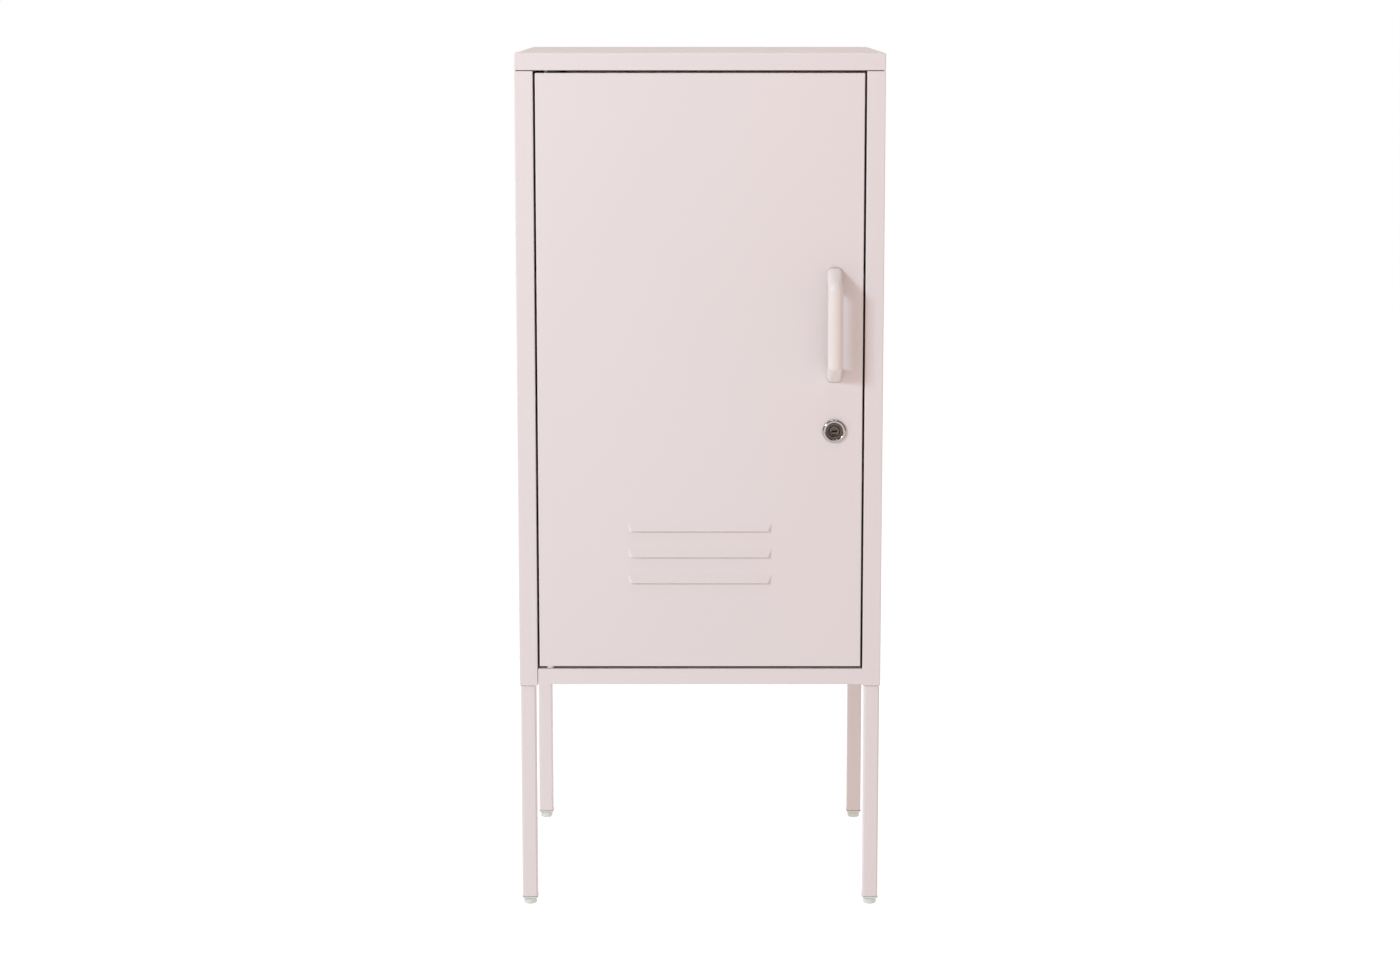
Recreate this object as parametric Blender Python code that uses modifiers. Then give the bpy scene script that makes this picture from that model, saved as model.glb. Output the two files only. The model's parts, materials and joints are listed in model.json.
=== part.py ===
"""Locker cabinet: a folded steel body on four tube legs, with one hinged door that locks.

Metres, +Z up. The origin is on the floor, under the centre of the whole object's box.
The door faces -Y and is hinged on its -X side.
"""

import math

import bmesh
import bpy
from mathutils import Matrix, Vector

# Overall size
WIDTH = 0.430
DEPTH = 0.390  # body and lid, without the handle
HEIGHT = 1.020
HANDLE_REACH = 0.030
SIDE = WIDTH / 2
FRONT = (HANDLE_REACH - DEPTH) / 2
BACK = FRONT + DEPTH

# Sheet metal
SHEET = 0.001
GAP = 0.0003  # between pieces that touch
LID_HEIGHT = 0.020
LID_LIP = 0.016
LID_BOTTOM = HEIGHT - LID_HEIGHT
BODY_TOP = LID_BOTTOM - 0.0008
BODY_BOTTOM = 0.2715
POST_WIDTH = 0.0215
POST_DEPTH = 0.020
POST_INNER = SIDE - POST_WIDTH
REAR_FLANGE = 0.015
WELD_FLANGE = 0.012
LEG_FLANGE = 0.025
FLANGE_FRONT = FRONT + 0.024
FLANGE_BACK = BACK - 0.004
FLOOR_TOP = 0.292
RAIL_BOTTOM = 0.273
PANEL_BACK = BACK - SHEET - GAP  # rear face of the back panel

# Door
DOOR_HALF = 0.191
DOOR_BOTTOM = 0.295
DOOR_TOP = 0.997
DOOR_DEPTH = 0.016
DOOR_LIP = 0.012
DOOR_BACK = FRONT + DOOR_DEPTH
HINGE_X = -0.1785
HINGE_Y = FRONT + 0.007
PIN_RADIUS = 0.0025
PIN_BORE = 0.0026
WASHER_RADIUS = 0.0045
BUSH_RADIUS = 0.0040
STOP_FACE = FRONT + 0.0195
STIFFENER_BOTTOM = 0.490
STIFFENER_TOP = 0.980

# Louvres
LOUVRE_LIPS = [0.4590, 0.4278, 0.3966]
LOUVRE_HALF = 0.083  # at the lip; the ends lean outward above it
LOUVRE_END = 0.0045
LOUVRE_LEAN = 0.3
LOUVRE_REACH = 0.0025
LOUVRE_HEIGHT = 0.0125

# Handle
HANDLE_X = 0.1575
HANDLE_LOW = 0.636
HANDLE_HIGH = 0.772
HANDLE_HALF_WIDTH = 0.009
HANDLE_SLANT = 0.016
GRIP_THICKNESS = 0.010
HANDLE_FOOT = 0.017
HANDLE_SCREW_INSET = 0.0095
SCREW_BORE = 0.0023

# Lock
LOCK_X = 0.158
LOCK_Z = 0.5785
BEZEL_RADIUS = 0.014
BARREL_RADIUS = 0.009
PLUG_RADIUS = 0.00625
PLUG_BORE = 0.00635
CAM_LENGTH = 0.042
CAM_HALF_WIDTH = 0.007
CAM_THICKNESS = 0.002

# Shelves
SHELF_TOPS = {"lower": 0.527, "upper": 0.762}
SHELF_HALF = 0.200
SHELF_FRONT = FRONT + 0.032
SHELF_BACK = BACK - 0.008
SHELF_EDGE = 0.015
SHELF_LIP = 0.008
UPRIGHT_WIDTH = 0.014
UPRIGHT_FACE = SIDE - 0.0075
UPRIGHT_BOTTOM = 0.300
UPRIGHT_TOP = 0.990
UPRIGHT_YS = {"front": FRONT + 0.045, "rear": BACK - 0.045}
CLIP_THICKNESS = 0.0012
CLIP_WIDTH = 0.008
SLOT_PITCH = (SHELF_TOPS["upper"] - SHELF_TOPS["lower"]) / 7
SLOTS_BELOW = 6

# Legs
LEG_SIZE = 0.018
LEG_INSET = 0.001
LEG_WALL = 0.0012
LEG_TOP = BODY_BOTTOM - GAP
LEG_BOTTOM = 0.0103
LEG_CENTRE = SIDE - LEG_INSET - LEG_SIZE / 2
LEG_YS = {"front": FRONT + LEG_INSET + LEG_SIZE / 2, "rear": BACK - LEG_INSET - LEG_SIZE / 2}
PLATE_THICKNESS = 0.0025
PLATE_REACH = 0.046  # from the leg's centre
BOLT_STEPS = (0.0205, 0.0365)
BOLT_RADIUS = 0.003
HOLE_RADIUS = 0.0034
COLLAR_BOTTOM = 0.008
COLLAR_LIP = 0.0004  # how far the collar stands out past the tube
STUD_RADIUS = 0.003

# Openings in the back panel
OUTLET_Z = 0.345
OUTLET_RADIUS = 0.020
KEYHOLE_X = 0.130
KEYHOLE_Z = 0.940
KEYHOLE_RADIUS = 0.0045
KEYHOLE_SLOT_HALF = 0.0024
KEYHOLE_SLOT_RISE = 0.013

# Sides of round pieces
ROUND_STEPS = 32
MEDIUM_STEPS = 24
SMALL_STEPS = 12


# Materials


def make_material(name, colour, roughness, metallic=0.0):
    material = bpy.data.materials.new(name)
    material.use_nodes = True
    shader = material.node_tree.nodes["Principled BSDF"]
    shader.inputs["Base Color"].default_value = (*colour, 1.0)
    shader.inputs["Roughness"].default_value = roughness
    shader.inputs["Metallic"].default_value = metallic
    return material


# Scene helpers


def clear_scene():
    for obj in list(bpy.data.objects):
        bpy.data.objects.remove(obj, do_unlink=True)


def make_collection(name):
    collection = bpy.data.collections.new(name)
    bpy.context.scene.collection.children.link(collection)
    return collection


def add_mesh(name, bm, place, material):
    """Turn a bmesh into an object at place, and return it."""
    mesh = bpy.data.meshes.new(name)
    bm.to_mesh(mesh)
    bm.free()
    obj = bpy.data.objects.new(name, mesh)
    obj.location = place
    if material is not None:
        mesh.materials.append(material)
    PARTS.objects.link(obj)
    return obj


def make_cutter(obj):
    """Move an object to the cutters, where it isn't a piece."""
    for collection in list(obj.users_collection):
        collection.objects.unlink(obj)
    CUTTERS.objects.link(obj)
    obj.hide_render = True
    obj.display_type = "WIRE"
    return obj


def combine(obj, cutters, operation="DIFFERENCE"):
    """Cut each cutter from obj, or join it on."""
    for cutter in cutters:
        make_cutter(cutter)
        boolean = obj.modifiers.new(cutter.name, "BOOLEAN")
        boolean.operation = operation
        boolean.object = cutter
    return obj


def hang_on(parent, pieces):
    """Parent pieces to an unrotated empty, keeping them in place."""
    for piece in pieces:
        piece.parent = parent
        piece.matrix_parent_inverse = Matrix.Translation(parent["axis_place"]).inverted()


def make_axis(name, place, parent=None):
    """An empty on a joint's axis."""
    empty = bpy.data.objects.new(name, None)
    empty["axis_place"] = place
    empty.location = place
    PARTS.objects.link(empty)
    if parent is not None:
        hang_on(parent, [empty])
    return empty


# Shape helpers


def box(name, low, high, material=None):
    """A box between two corners."""
    low = Vector(low)
    high = Vector(high)
    bm = bmesh.new()
    bmesh.ops.create_cube(bm, size=1.0)
    bmesh.ops.scale(bm, vec=high - low, verts=bm.verts)
    return add_mesh(name, bm, (low + high) / 2, material)


def rod(name, radius, start, end, material=None, steps=ROUND_STEPS):
    """A cylinder from one point to another."""
    start = Vector(start)
    end = Vector(end)
    bm = bmesh.new()
    bmesh.ops.create_cone(
        bm, cap_ends=True, segments=steps, radius1=radius, radius2=radius, depth=(end - start).length
    )
    obj = add_mesh(name, bm, (start + end) / 2, material)
    obj.rotation_euler = (end - start).to_track_quat("Z", "Y").to_euler()
    return obj


def turned(name, profile, place, material, lean=0.0, closed=False, steps=ROUND_STEPS):
    """Spin (radius, height) points, listed down the outer side, about local Z; lean tips it about X."""
    bm = bmesh.new()
    points = [bm.verts.new((radius, 0.0, height)) for radius, height in profile]
    pairs = list(zip(points, points[1:]))
    if closed:
        pairs.append((points[-1], points[0]))
    for first, second in pairs:
        bm.edges.new((first, second))
    obj = add_mesh(name, bm, place, material)
    obj.rotation_euler = (lean, 0.0, 0.0)
    screw = obj.modifiers.new("turn", "SCREW")
    screw.axis = "Z"
    screw.steps = steps
    screw.render_steps = steps
    screw.use_merge_vertices = True
    screw.merge_threshold = 0.00001
    return obj


def thicken(obj, outward, thickness=SHEET):
    """Give an open surface its thickness, away from the side that faces outward."""
    bm = bmesh.new()
    bm.from_mesh(obj.data)
    bmesh.ops.recalc_face_normals(bm, faces=bm.faces)
    bm.normal_update()
    widest = max(bm.faces, key=lambda face: face.calc_area())
    if widest.normal.dot(Vector(outward)) < 0:
        bmesh.ops.reverse_faces(bm, faces=bm.faces)
    bm.to_mesh(obj.data)
    bm.free()
    solid = obj.modifiers.new("sheet", "SOLIDIFY")
    solid.thickness = thickness
    solid.offset = -1.0
    solid.use_even_offset = True
    solid.use_quality_normals = True
    return obj


def extrude_edges(bm, edges, step):
    """Fold a strip out of open edges, and return its new vertices."""
    made = bmesh.ops.extrude_edge_only(bm, edges=edges)["geom"]
    verts = [item for item in made if isinstance(item, bmesh.types.BMVert)]
    bmesh.ops.translate(bm, vec=step, verts=verts)
    return verts


def open_edges(bm):
    return [edge for edge in bm.edges if edge.is_boundary]


def strip(profile, run):
    """A bmesh of an open profile of 3D points swept along one vector."""
    bm = bmesh.new()
    points = [bm.verts.new(point) for point in profile]
    edges = [bm.edges.new(pair) for pair in zip(points, points[1:])]
    extrude_edges(bm, edges, run)
    return bm


def tray(name, width, length, depth, lip, place, material, lean=0.0):
    """A sheet folded down on four sides, with a lip turned in: its face is at local z = 0."""
    bm = bmesh.new()
    bmesh.ops.create_grid(bm, x_segments=1, y_segments=1, size=0.5)
    bmesh.ops.scale(bm, vec=(width, length, 1.0), verts=bm.verts)
    extrude_edges(bm, open_edges(bm), (0.0, 0.0, -depth))
    for vert in extrude_edges(bm, open_edges(bm), (0.0, 0.0, 0.0)):
        vert.co.x -= math.copysign(lip, vert.co.x)
        vert.co.y -= math.copysign(lip, vert.co.y)
    obj = add_mesh(name, bm, place, material)
    obj.rotation_euler = (lean, 0.0, 0.0)
    return thicken(obj, (0.0, 0.0, 1.0))


def fillet(before, corner, after, radius, steps=4):
    """Points of an arc that rounds the corner of a flat outline."""
    corner = Vector(corner)
    to_before = (Vector(before) - corner).normalized()
    to_after = (Vector(after) - corner).normalized()
    half = to_before.angle(to_after) / 2
    centre = corner + (to_before + to_after).normalized() * radius / math.sin(half)
    start = corner + to_before * radius / math.tan(half) - centre
    end = corner + to_after * radius / math.tan(half) - centre
    turns = [start.normalized().slerp(end.normalized(), i / steps) for i in range(steps + 1)]
    return [centre + radius * turn for turn in turns]


def rounded(corners):
    """A closed outline from (point, radius) corners; radius 0 keeps the corner sharp."""
    outline = []
    for i, (corner, radius) in enumerate(corners):
        before = corners[i - 1][0]
        after = corners[(i + 1) % len(corners)][0]
        outline += fillet(before, corner, after, radius) if radius else [Vector(corner)]
    return outline


def plate(name, outline, thickness, to_world, material):
    """A flat outline given thickness along local Z, centred on its plane."""
    bm = bmesh.new()
    face = bm.faces.new([bm.verts.new((x, y, -thickness / 2)) for x, y in outline])
    made = bmesh.ops.extrude_face_region(bm, geom=[face])["geom"]
    verts = [item for item in made if isinstance(item, bmesh.types.BMVert)]
    bmesh.ops.translate(bm, vec=(0.0, 0.0, thickness), verts=verts)
    bmesh.ops.recalc_face_normals(bm, faces=bm.faces)
    obj = add_mesh(name, bm, (0.0, 0.0, 0.0), material)
    obj.matrix_world = to_world
    return obj


def loft(name, rings, material=None):
    """Join rings of points, each with the same count, into one closed solid."""
    bm = bmesh.new()
    rows = [[bm.verts.new(point) for point in ring] for ring in rings]
    count = len(rows[0])
    for row, following in zip(rows, rows[1:]):
        for i in range(count):
            bm.faces.new((row[i], row[(i + 1) % count], following[(i + 1) % count], following[i]))
    bm.faces.new(rows[0])
    bm.faces.new(rows[-1])
    bmesh.ops.recalc_face_normals(bm, faces=bm.faces)
    return add_mesh(name, bm, (0.0, 0.0, 0.0), material)


# Body


def side_panel(name, sign, paint):
    """One sheet: front post, side wall and rear flange, with weld flanges at top and bottom."""
    profile = [
        (SIDE - 0.004, FRONT + POST_DEPTH),
        (POST_INNER, FRONT + POST_DEPTH),
        (POST_INNER, FRONT),
        (SIDE, FRONT),
        (SIDE, FLANGE_FRONT),
        (SIDE, FLANGE_BACK),
        (SIDE, BACK),
        (SIDE - REAR_FLANGE, BACK),
    ]
    height = BODY_TOP - BODY_BOTTOM
    bm = strip([(sign * x, y, 0.0) for x, y in profile], (0.0, 0.0, height))
    middle = (FLANGE_FRONT + FLANGE_BACK) / 2
    for level, reach in ((0.0, LEG_FLANGE), (height, WELD_FLANGE)):
        edges = [
            edge
            for edge in open_edges(bm)
            if all(abs(v.co.z - level) < 0.0001 and abs(v.co.x) > SIDE - 0.0001 for v in edge.verts)
            and abs((edge.verts[0].co.y + edge.verts[1].co.y) / 2 - middle) < 0.001
        ]
        extrude_edges(bm, edges, (-sign * reach, 0.0, 0.0))
    panel = thicken(add_mesh(name, bm, (0.0, 0.0, BODY_BOTTOM), paint), (sign, 0.0, 0.0))
    holes = []
    for row, leg_y in LEG_YS.items():
        for number, bolt_y in enumerate(bolt_places(leg_y), 1):
            centre = (sign * LEG_CENTRE, bolt_y)
            holes.append(
                rod(
                    f"{name}_{row}_bolt_hole_{number}",
                    HOLE_RADIUS,
                    (*centre, BODY_BOTTOM - 0.002),
                    (*centre, BODY_BOTTOM + 0.003),
                    steps=SMALL_STEPS,
                )
            )
    return combine(panel, holes)


def bottom_panel(paint):
    """Floor with folded edges: its front fold is the rail under the door."""
    inner = POST_INNER - 0.0005
    outer = SIDE - SHEET - GAP
    notch = FRONT + POST_DEPTH + 0.0015
    rear = PANEL_BACK - SHEET - GAP
    half = [(inner, FRONT), (inner, notch), (outer, notch), (outer, rear)]
    outline = half + [(-x, y) for x, y in reversed(half)]
    bm = bmesh.new()
    bm.faces.new([bm.verts.new((x, y, 0.0)) for x, y in outline])
    drop = FLOOR_TOP - RAIL_BOTTOM
    extrude_edges(bm, open_edges(bm), (0.0, 0.0, -drop))
    front_edge = [
        edge for edge in open_edges(bm) if all(vert.co.y < FRONT + 0.0001 for vert in edge.verts)
    ]
    for vert in extrude_edges(bm, front_edge, (0.0, 0.014, 0.0)):
        vert.co.x -= math.copysign(0.0015, vert.co.x)
    panel = thicken(add_mesh("bottom_panel", bm, (0.0, 0.0, FLOOR_TOP), paint), (0.0, 0.0, 1.0))
    hinge_hole = rod(
        "bottom_hinge_hole",
        PIN_RADIUS + GAP,
        (HINGE_X, HINGE_Y, FLOOR_TOP - 0.003),
        (HINGE_X, HINGE_Y, FLOOR_TOP + 0.003),
    )
    return combine(panel, [hinge_hole])


def back_panel(paint):
    """Flat sheet with a cable outlet and two keyholes for fixing to a wall."""
    half = SIDE - SHEET - 2 * GAP
    low = (-half, PANEL_BACK - SHEET, BODY_BOTTOM + 0.002)
    high = (half, PANEL_BACK, BODY_TOP - 0.001)
    panel = box("back_panel", low, high, paint)
    front = PANEL_BACK - 0.006
    rear = PANEL_BACK + 0.004
    cutters = [
        rod("cable_hole", OUTLET_RADIUS, (0.0, front, OUTLET_Z), (0.0, rear, OUTLET_Z)),
    ]
    for side, x in (("left", -KEYHOLE_X), ("right", KEYHOLE_X)):
        ends = ((x, front, KEYHOLE_Z), (x, rear, KEYHOLE_Z))
        cutters.append(rod(f"{side}_keyhole", KEYHOLE_RADIUS, *ends))
        slot_low = (x - KEYHOLE_SLOT_HALF, front, KEYHOLE_Z + 0.001)
        slot_high = (x + KEYHOLE_SLOT_HALF, rear, KEYHOLE_Z + KEYHOLE_SLOT_RISE)
        cutters.append(box(f"{side}_keyhole_slot", slot_low, slot_high))
    return combine(panel, cutters)


def top_cap(paint):
    """Lid: a tray turned upside down, with the top hinge bush's hole in its front lip."""
    place = (0.0, (FRONT + BACK) / 2, HEIGHT)
    cap = tray("top_cap", WIDTH, DEPTH, LID_HEIGHT, LID_LIP, place, paint)
    bush_hole = rod(
        "bush_hole",
        BUSH_RADIUS + GAP,
        (HINGE_X, HINGE_Y, LID_BOTTOM - 0.003),
        (HINGE_X, HINGE_Y, LID_BOTTOM + 0.003),
    )
    return combine(cap, [bush_hole])


def top_stop_rail(paint):
    """Angle behind the top of the door; it stays clear of the hinge edge's swing."""
    start = -0.155
    end = POST_INNER - 0.001
    bottom = 0.984
    top = BODY_TOP - 0.0007
    rear = FRONT + 0.045
    profile = [(start, STOP_FACE, bottom), (start, STOP_FACE, top), (start, rear, top)]
    bm = strip(profile, (end - start, 0.0, 0.0))
    return thicken(add_mesh("top_stop_rail", bm, (0.0, 0.0, 0.0), paint), (0.0, 0.0, 1.0))


def cable_grommet(plastic):
    """Ring that snaps into the back panel's hole: local +Z points out of the back."""
    outer = OUTLET_RADIUS + 0.004
    neck = OUTLET_RADIUS - GAP
    bore = OUTLET_RADIUS - 0.003
    inner_face = -(SHEET + 2 * GAP)
    profile = [
        (bore + 0.0006, 0.0013),
        (outer - 0.0006, 0.0013),
        (outer, 0.0008),
        (outer, GAP),
        (neck, GAP),
        (neck, inner_face),
        (outer - 0.001, inner_face),
        (outer - 0.001, inner_face - 0.0015),
        (bore, inner_face - 0.0023),
        (bore, 0.0008),
    ]
    place = (0.0, PANEL_BACK, OUTLET_Z)
    return turned("cable_grommet", profile, place, plastic, -math.pi / 2, True, MEDIUM_STEPS)


# Shelves


def clip_level(shelf_top):
    """Height of a clip's ledge, under the shelf's folded edge."""
    return shelf_top - SHELF_EDGE - GAP


def shelf_upright(name, sign, y, paint):
    """Channel on the side wall, with a column of slots for shelf clips."""
    wall = SIDE - SHEET - GAP
    edges = (y - UPRIGHT_WIDTH / 2, y + UPRIGHT_WIDTH / 2)
    profile = [(wall, edges[0]), (UPRIGHT_FACE, edges[0]), (UPRIGHT_FACE, edges[1]), (wall, edges[1])]
    run = (0.0, 0.0, UPRIGHT_TOP - UPRIGHT_BOTTOM)
    bm = strip([(sign * x, edge, UPRIGHT_BOTTOM) for x, edge in profile], run)
    upright = thicken(add_mesh(name, bm, (0.0, 0.0, 0.0), paint), (-sign, 0.0, 0.0))
    slots = []
    first = clip_level(SHELF_TOPS["lower"]) - CLIP_THICKNESS / 2 - SLOTS_BELOW * SLOT_PITCH
    count = int((UPRIGHT_TOP - 0.010 - first) / SLOT_PITCH) + 1
    near = sign * (UPRIGHT_FACE - 0.002)
    far = sign * (UPRIGHT_FACE + 0.003)
    for number in range(count):
        level = first + number * SLOT_PITCH
        low = (min(near, far), y - CLIP_WIDTH / 2 - 0.0006, level - 0.0012)
        high = (max(near, far), y + CLIP_WIDTH / 2 + 0.0006, level + 0.0012)
        slots.append(box(f"{name}_slot_{number:02d}", low, high))
    return combine(upright, slots)


def shelf_clip(name, sign, y, level, steel):
    """Bent strip: a hook behind the upright, a ledge for the shelf and a short nose."""
    hook = UPRIGHT_FACE + SHEET + 0.003
    nose = SHELF_HALF - 0.010
    start = y - CLIP_WIDTH / 2
    corners = [(hook, level - 0.006), (hook, level), (nose, level), (nose, level - 0.004)]
    bm = strip([(sign * x, start, z) for x, z in corners], (0.0, CLIP_WIDTH, 0.0))
    return thicken(add_mesh(name, bm, (0.0, 0.0, 0.0), steel), (0.0, 0.0, 1.0), CLIP_THICKNESS)


def shelves(paint, steel):
    centre = (SHELF_FRONT + SHELF_BACK) / 2
    for level, top in SHELF_TOPS.items():
        place = (0.0, centre, top)
        length = SHELF_BACK - SHELF_FRONT
        tray(f"{level}_shelf", 2 * SHELF_HALF, length, SHELF_EDGE, SHELF_LIP, place, paint)
        for side, sign in (("left", -1), ("right", 1)):
            for row, y in UPRIGHT_YS.items():
                shelf_clip(f"{level}_shelf_clip_{row}_{side}", sign, y, clip_level(top), steel)
    for side, sign in (("left", -1), ("right", 1)):
        for row, y in UPRIGHT_YS.items():
            shelf_upright(f"shelf_upright_{row}_{side}", sign, y, paint)


# Legs


def bolt_places(leg_y):
    """Where the two bolts of a leg stand, from its centre towards the cabinet's middle."""
    inward = math.copysign(1.0, (FRONT + BACK) / 2 - leg_y)
    return [leg_y + inward * step for step in BOLT_STEPS]


def leg(name, x, y, paint):
    """Square tube closed by a fixing plate, which reaches inward behind the leg."""
    half = LEG_SIZE / 2
    inner = half - LEG_WALL
    inward = math.copysign(1.0, (FRONT + BACK) / 2 - y)
    plate_low = LEG_TOP - PLATE_THICKNESS
    tube = box(name, (x - half, y - half, LEG_BOTTOM), (x + half, y + half, LEG_TOP - 0.0008), paint)
    ends = (y - inward * (half - 0.0004), y + inward * PLATE_REACH)
    fixing_plate = box(
        f"{name}_plate",
        (x - half + 0.0004, min(ends), plate_low),
        (x + half - 0.0004, max(ends), LEG_TOP),
    )
    hollow = box(
        f"{name}_hollow", (x - inner, y - inner, LEG_BOTTOM - 0.005), (x + inner, y + inner, plate_low)
    )
    combine(tube, [fixing_plate], "UNION")
    holes = [
        rod(
            f"{name}_hole_{number}",
            HOLE_RADIUS,
            (x, bolt_y, plate_low - 0.002),
            (x, bolt_y, LEG_TOP + 0.002),
            steps=SMALL_STEPS,
        )
        for number, bolt_y in enumerate(bolt_places(y), 1)
    ]
    return combine(tube, [hollow] + holes)


def leg_bolt(name, x, y, steel):
    """Button-head bolt, pushed up through the plate and the side panel's flange."""
    head_top = LEG_TOP - PLATE_THICKNESS - GAP
    profile = [
        (0.0, BODY_BOTTOM + 0.0065),
        (BOLT_RADIUS - 0.0005, BODY_BOTTOM + 0.0065),
        (BOLT_RADIUS, BODY_BOTTOM + 0.0060),
        (BOLT_RADIUS, head_top),
        (0.0055, head_top),
        (0.0052, head_top - 0.0015),
        (0.0036, head_top - 0.0028),
        (0.0, head_top - 0.0028),
    ]
    return turned(name, profile, (x, y, 0.0), steel, steps=SMALL_STEPS)


def leg_insert(name, x, y, plastic):
    """Square plug in the leg's end, with a collar below it and a bore for the foot's stud."""
    rim = LEG_SIZE / 2 + COLLAR_LIP
    plug = LEG_SIZE / 2 - LEG_WALL - GAP
    collar_top = LEG_BOTTOM - GAP
    insert = box(name, (x - rim, y - rim, COLLAR_BOTTOM), (x + rim, y + rim, collar_top), plastic)
    stem = box(
        f"{name}_stem", (x - plug, y - plug, COLLAR_BOTTOM + 0.001), (x + plug, y + plug, 0.030)
    )
    combine(insert, [stem], "UNION")
    ends = ((x, y, COLLAR_BOTTOM - 0.002), (x, y, 0.032))
    bore = rod(f"{name}_bore", STUD_RADIUS + 0.0001, *ends, steps=MEDIUM_STEPS)
    return combine(insert, [bore])


def levelling_foot(name, x, y, plastic):
    """Round foot on a stud; its origin is on the floor, on the axis it moves along."""
    top = COLLAR_BOTTOM - GAP
    profile = [
        (0.0, 0.034),
        (STUD_RADIUS - 0.0004, 0.034),
        (STUD_RADIUS, 0.0335),
        (STUD_RADIUS, top),
        (0.0074, top),
        (0.0078, top - 0.0006),
        (0.0077, 0.0040),
        (0.0070, 0.0015),
        (0.0058, 0.0003),
        (0.0050, 0.0),
        (0.0, 0.0),
    ]
    return turned(name, profile, (x, y, 0.0), plastic, steps=MEDIUM_STEPS)


def legs(paint, steel, plastic):
    for side, sign in (("left", -1), ("right", 1)):
        x = sign * LEG_CENTRE
        for row, y in LEG_YS.items():
            where = f"{row}_{side}"
            leg(f"leg_{where}", x, y, paint)
            leg_insert(f"leg_insert_{where}", x, y, plastic)
            levelling_foot(f"levelling_foot_{where}", x, y, plastic)
            for number, bolt_y in enumerate(bolt_places(y), 1):
                leg_bolt(f"leg_bolt_{where}_{number}", x, bolt_y, steel)


# Door


def louvre_ring(x, lip, reach, height, back, drop):
    """Section of a louvre's hood: flat below, rounded above, and leaning outward as it rises."""
    section = [
        (back, -drop),
        (FRONT - reach, -drop),
        (FRONT - reach, 0.10 * height),
        (FRONT - 0.86 * reach, 0.32 * height),
        (FRONT - 0.52 * reach, 0.66 * height),
        (FRONT - 0.16 * reach, 0.90 * height),
        (back, height),
    ]
    lean = math.copysign(LOUVRE_LEAN, x)
    return [(x + lean * rise, y, lip + rise) for y, rise in section]


def louvre_body(name, lip, half, reach, height, back, drop):
    """Louvre hood or hollow, lower at both ends."""
    rings = []
    for x, fullness in (
        (-half - LOUVRE_END, 0.08),
        (-half - 0.55 * LOUVRE_END, 0.66),
        (-half, 1.0),
        (half, 1.0),
        (half + 0.55 * LOUVRE_END, 0.66),
        (half + LOUVRE_END, 0.08),
    ):
        rings.append(louvre_ring(x, lip, reach * fullness, height * (0.4 + 0.6 * fullness), back, drop))
    return loft(name, rings)


def door_panel(paint):
    """Door skin: a tray with three louvres, and holes for the handle, lock and hinge pins."""
    width = 2 * DOOR_HALF
    length = DOOR_TOP - DOOR_BOTTOM
    place = (0.0, FRONT, (DOOR_TOP + DOOR_BOTTOM) / 2)
    door = tray("door_panel", width, length, DOOR_DEPTH, DOOR_LIP, place, paint, lean=math.pi / 2)
    hoods = []
    hollows = []
    for number, lip in enumerate(LOUVRE_LIPS, 1):
        hoods.append(
            louvre_body(
                f"louvre_hood_{number}",
                lip,
                LOUVRE_HALF,
                LOUVRE_REACH,
                LOUVRE_HEIGHT,
                FRONT + SHEET / 2,
                0.0,
            )
        )
        hollows.append(
            louvre_body(
                f"louvre_hollow_{number}",
                lip,
                LOUVRE_HALF - SHEET,
                LOUVRE_REACH - SHEET,
                LOUVRE_HEIGHT - 1.3 * SHEET,
                FRONT + 2 * SHEET,
                0.0004,
            )
        )
    combine(door, hoods, "UNION")
    before = FRONT - 0.010
    behind = FRONT + 0.004
    holes = [
        rod("lock_hole", BARREL_RADIUS + GAP, (LOCK_X, before, LOCK_Z), (LOCK_X, behind, LOCK_Z)),
    ]
    for number, z in enumerate(handle_screw_levels(), 1):
        ends = ((HANDLE_X, before, z), (HANDLE_X, behind, z))
        holes.append(rod(f"handle_hole_{number}", SCREW_BORE, *ends))
    for level, z in (("top", DOOR_TOP), ("bottom", DOOR_BOTTOM)):
        holes.append(
            rod(
                f"{level}_pin_hole",
                PIN_RADIUS + GAP,
                (HINGE_X, HINGE_Y, z - 0.003),
                (HINGE_X, HINGE_Y, z + 0.003),
            )
        )
    return combine(door, hollows + holes)


def door_stiffener(paint):
    """Hat channel behind the door's skin, above the louvres."""
    near = FRONT + SHEET + GAP
    far = near + 0.0105
    half = [(0.034, near), (0.018, near), (0.014, far)]
    section = half + [(-x, y) for x, y in reversed(half)]
    run = (0.0, 0.0, STIFFENER_TOP - STIFFENER_BOTTOM)
    bm = strip([(x, y, STIFFENER_BOTTOM) for x, y in section], run)
    return thicken(add_mesh("door_stiffener", bm, (0.0, 0.0, 0.0), paint), (0.0, -1.0, 0.0))


def hinge_pin(name, edge, direction, reach, steel):
    """Pin headed inside the door; direction is 1 up out of the top edge, -1 down."""
    head = edge - direction * (SHEET + GAP)
    ends = (edge + direction * reach, head - direction * 0.002)
    stations = [
        (0.0, ends[0]),
        (PIN_RADIUS - 0.0005, ends[0]),
        (PIN_RADIUS, ends[0] - direction * 0.0005),
        (PIN_RADIUS, head),
        (0.005, head),
        (0.005, ends[1]),
        (0.0, ends[1]),
    ]
    profile = [(radius, direction * (z - edge)) for radius, z in stations]
    lean = 0.0 if direction > 0 else math.pi
    return turned(name, profile, (HINGE_X, HINGE_Y, edge), steel, lean=lean, steps=MEDIUM_STEPS)


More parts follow.
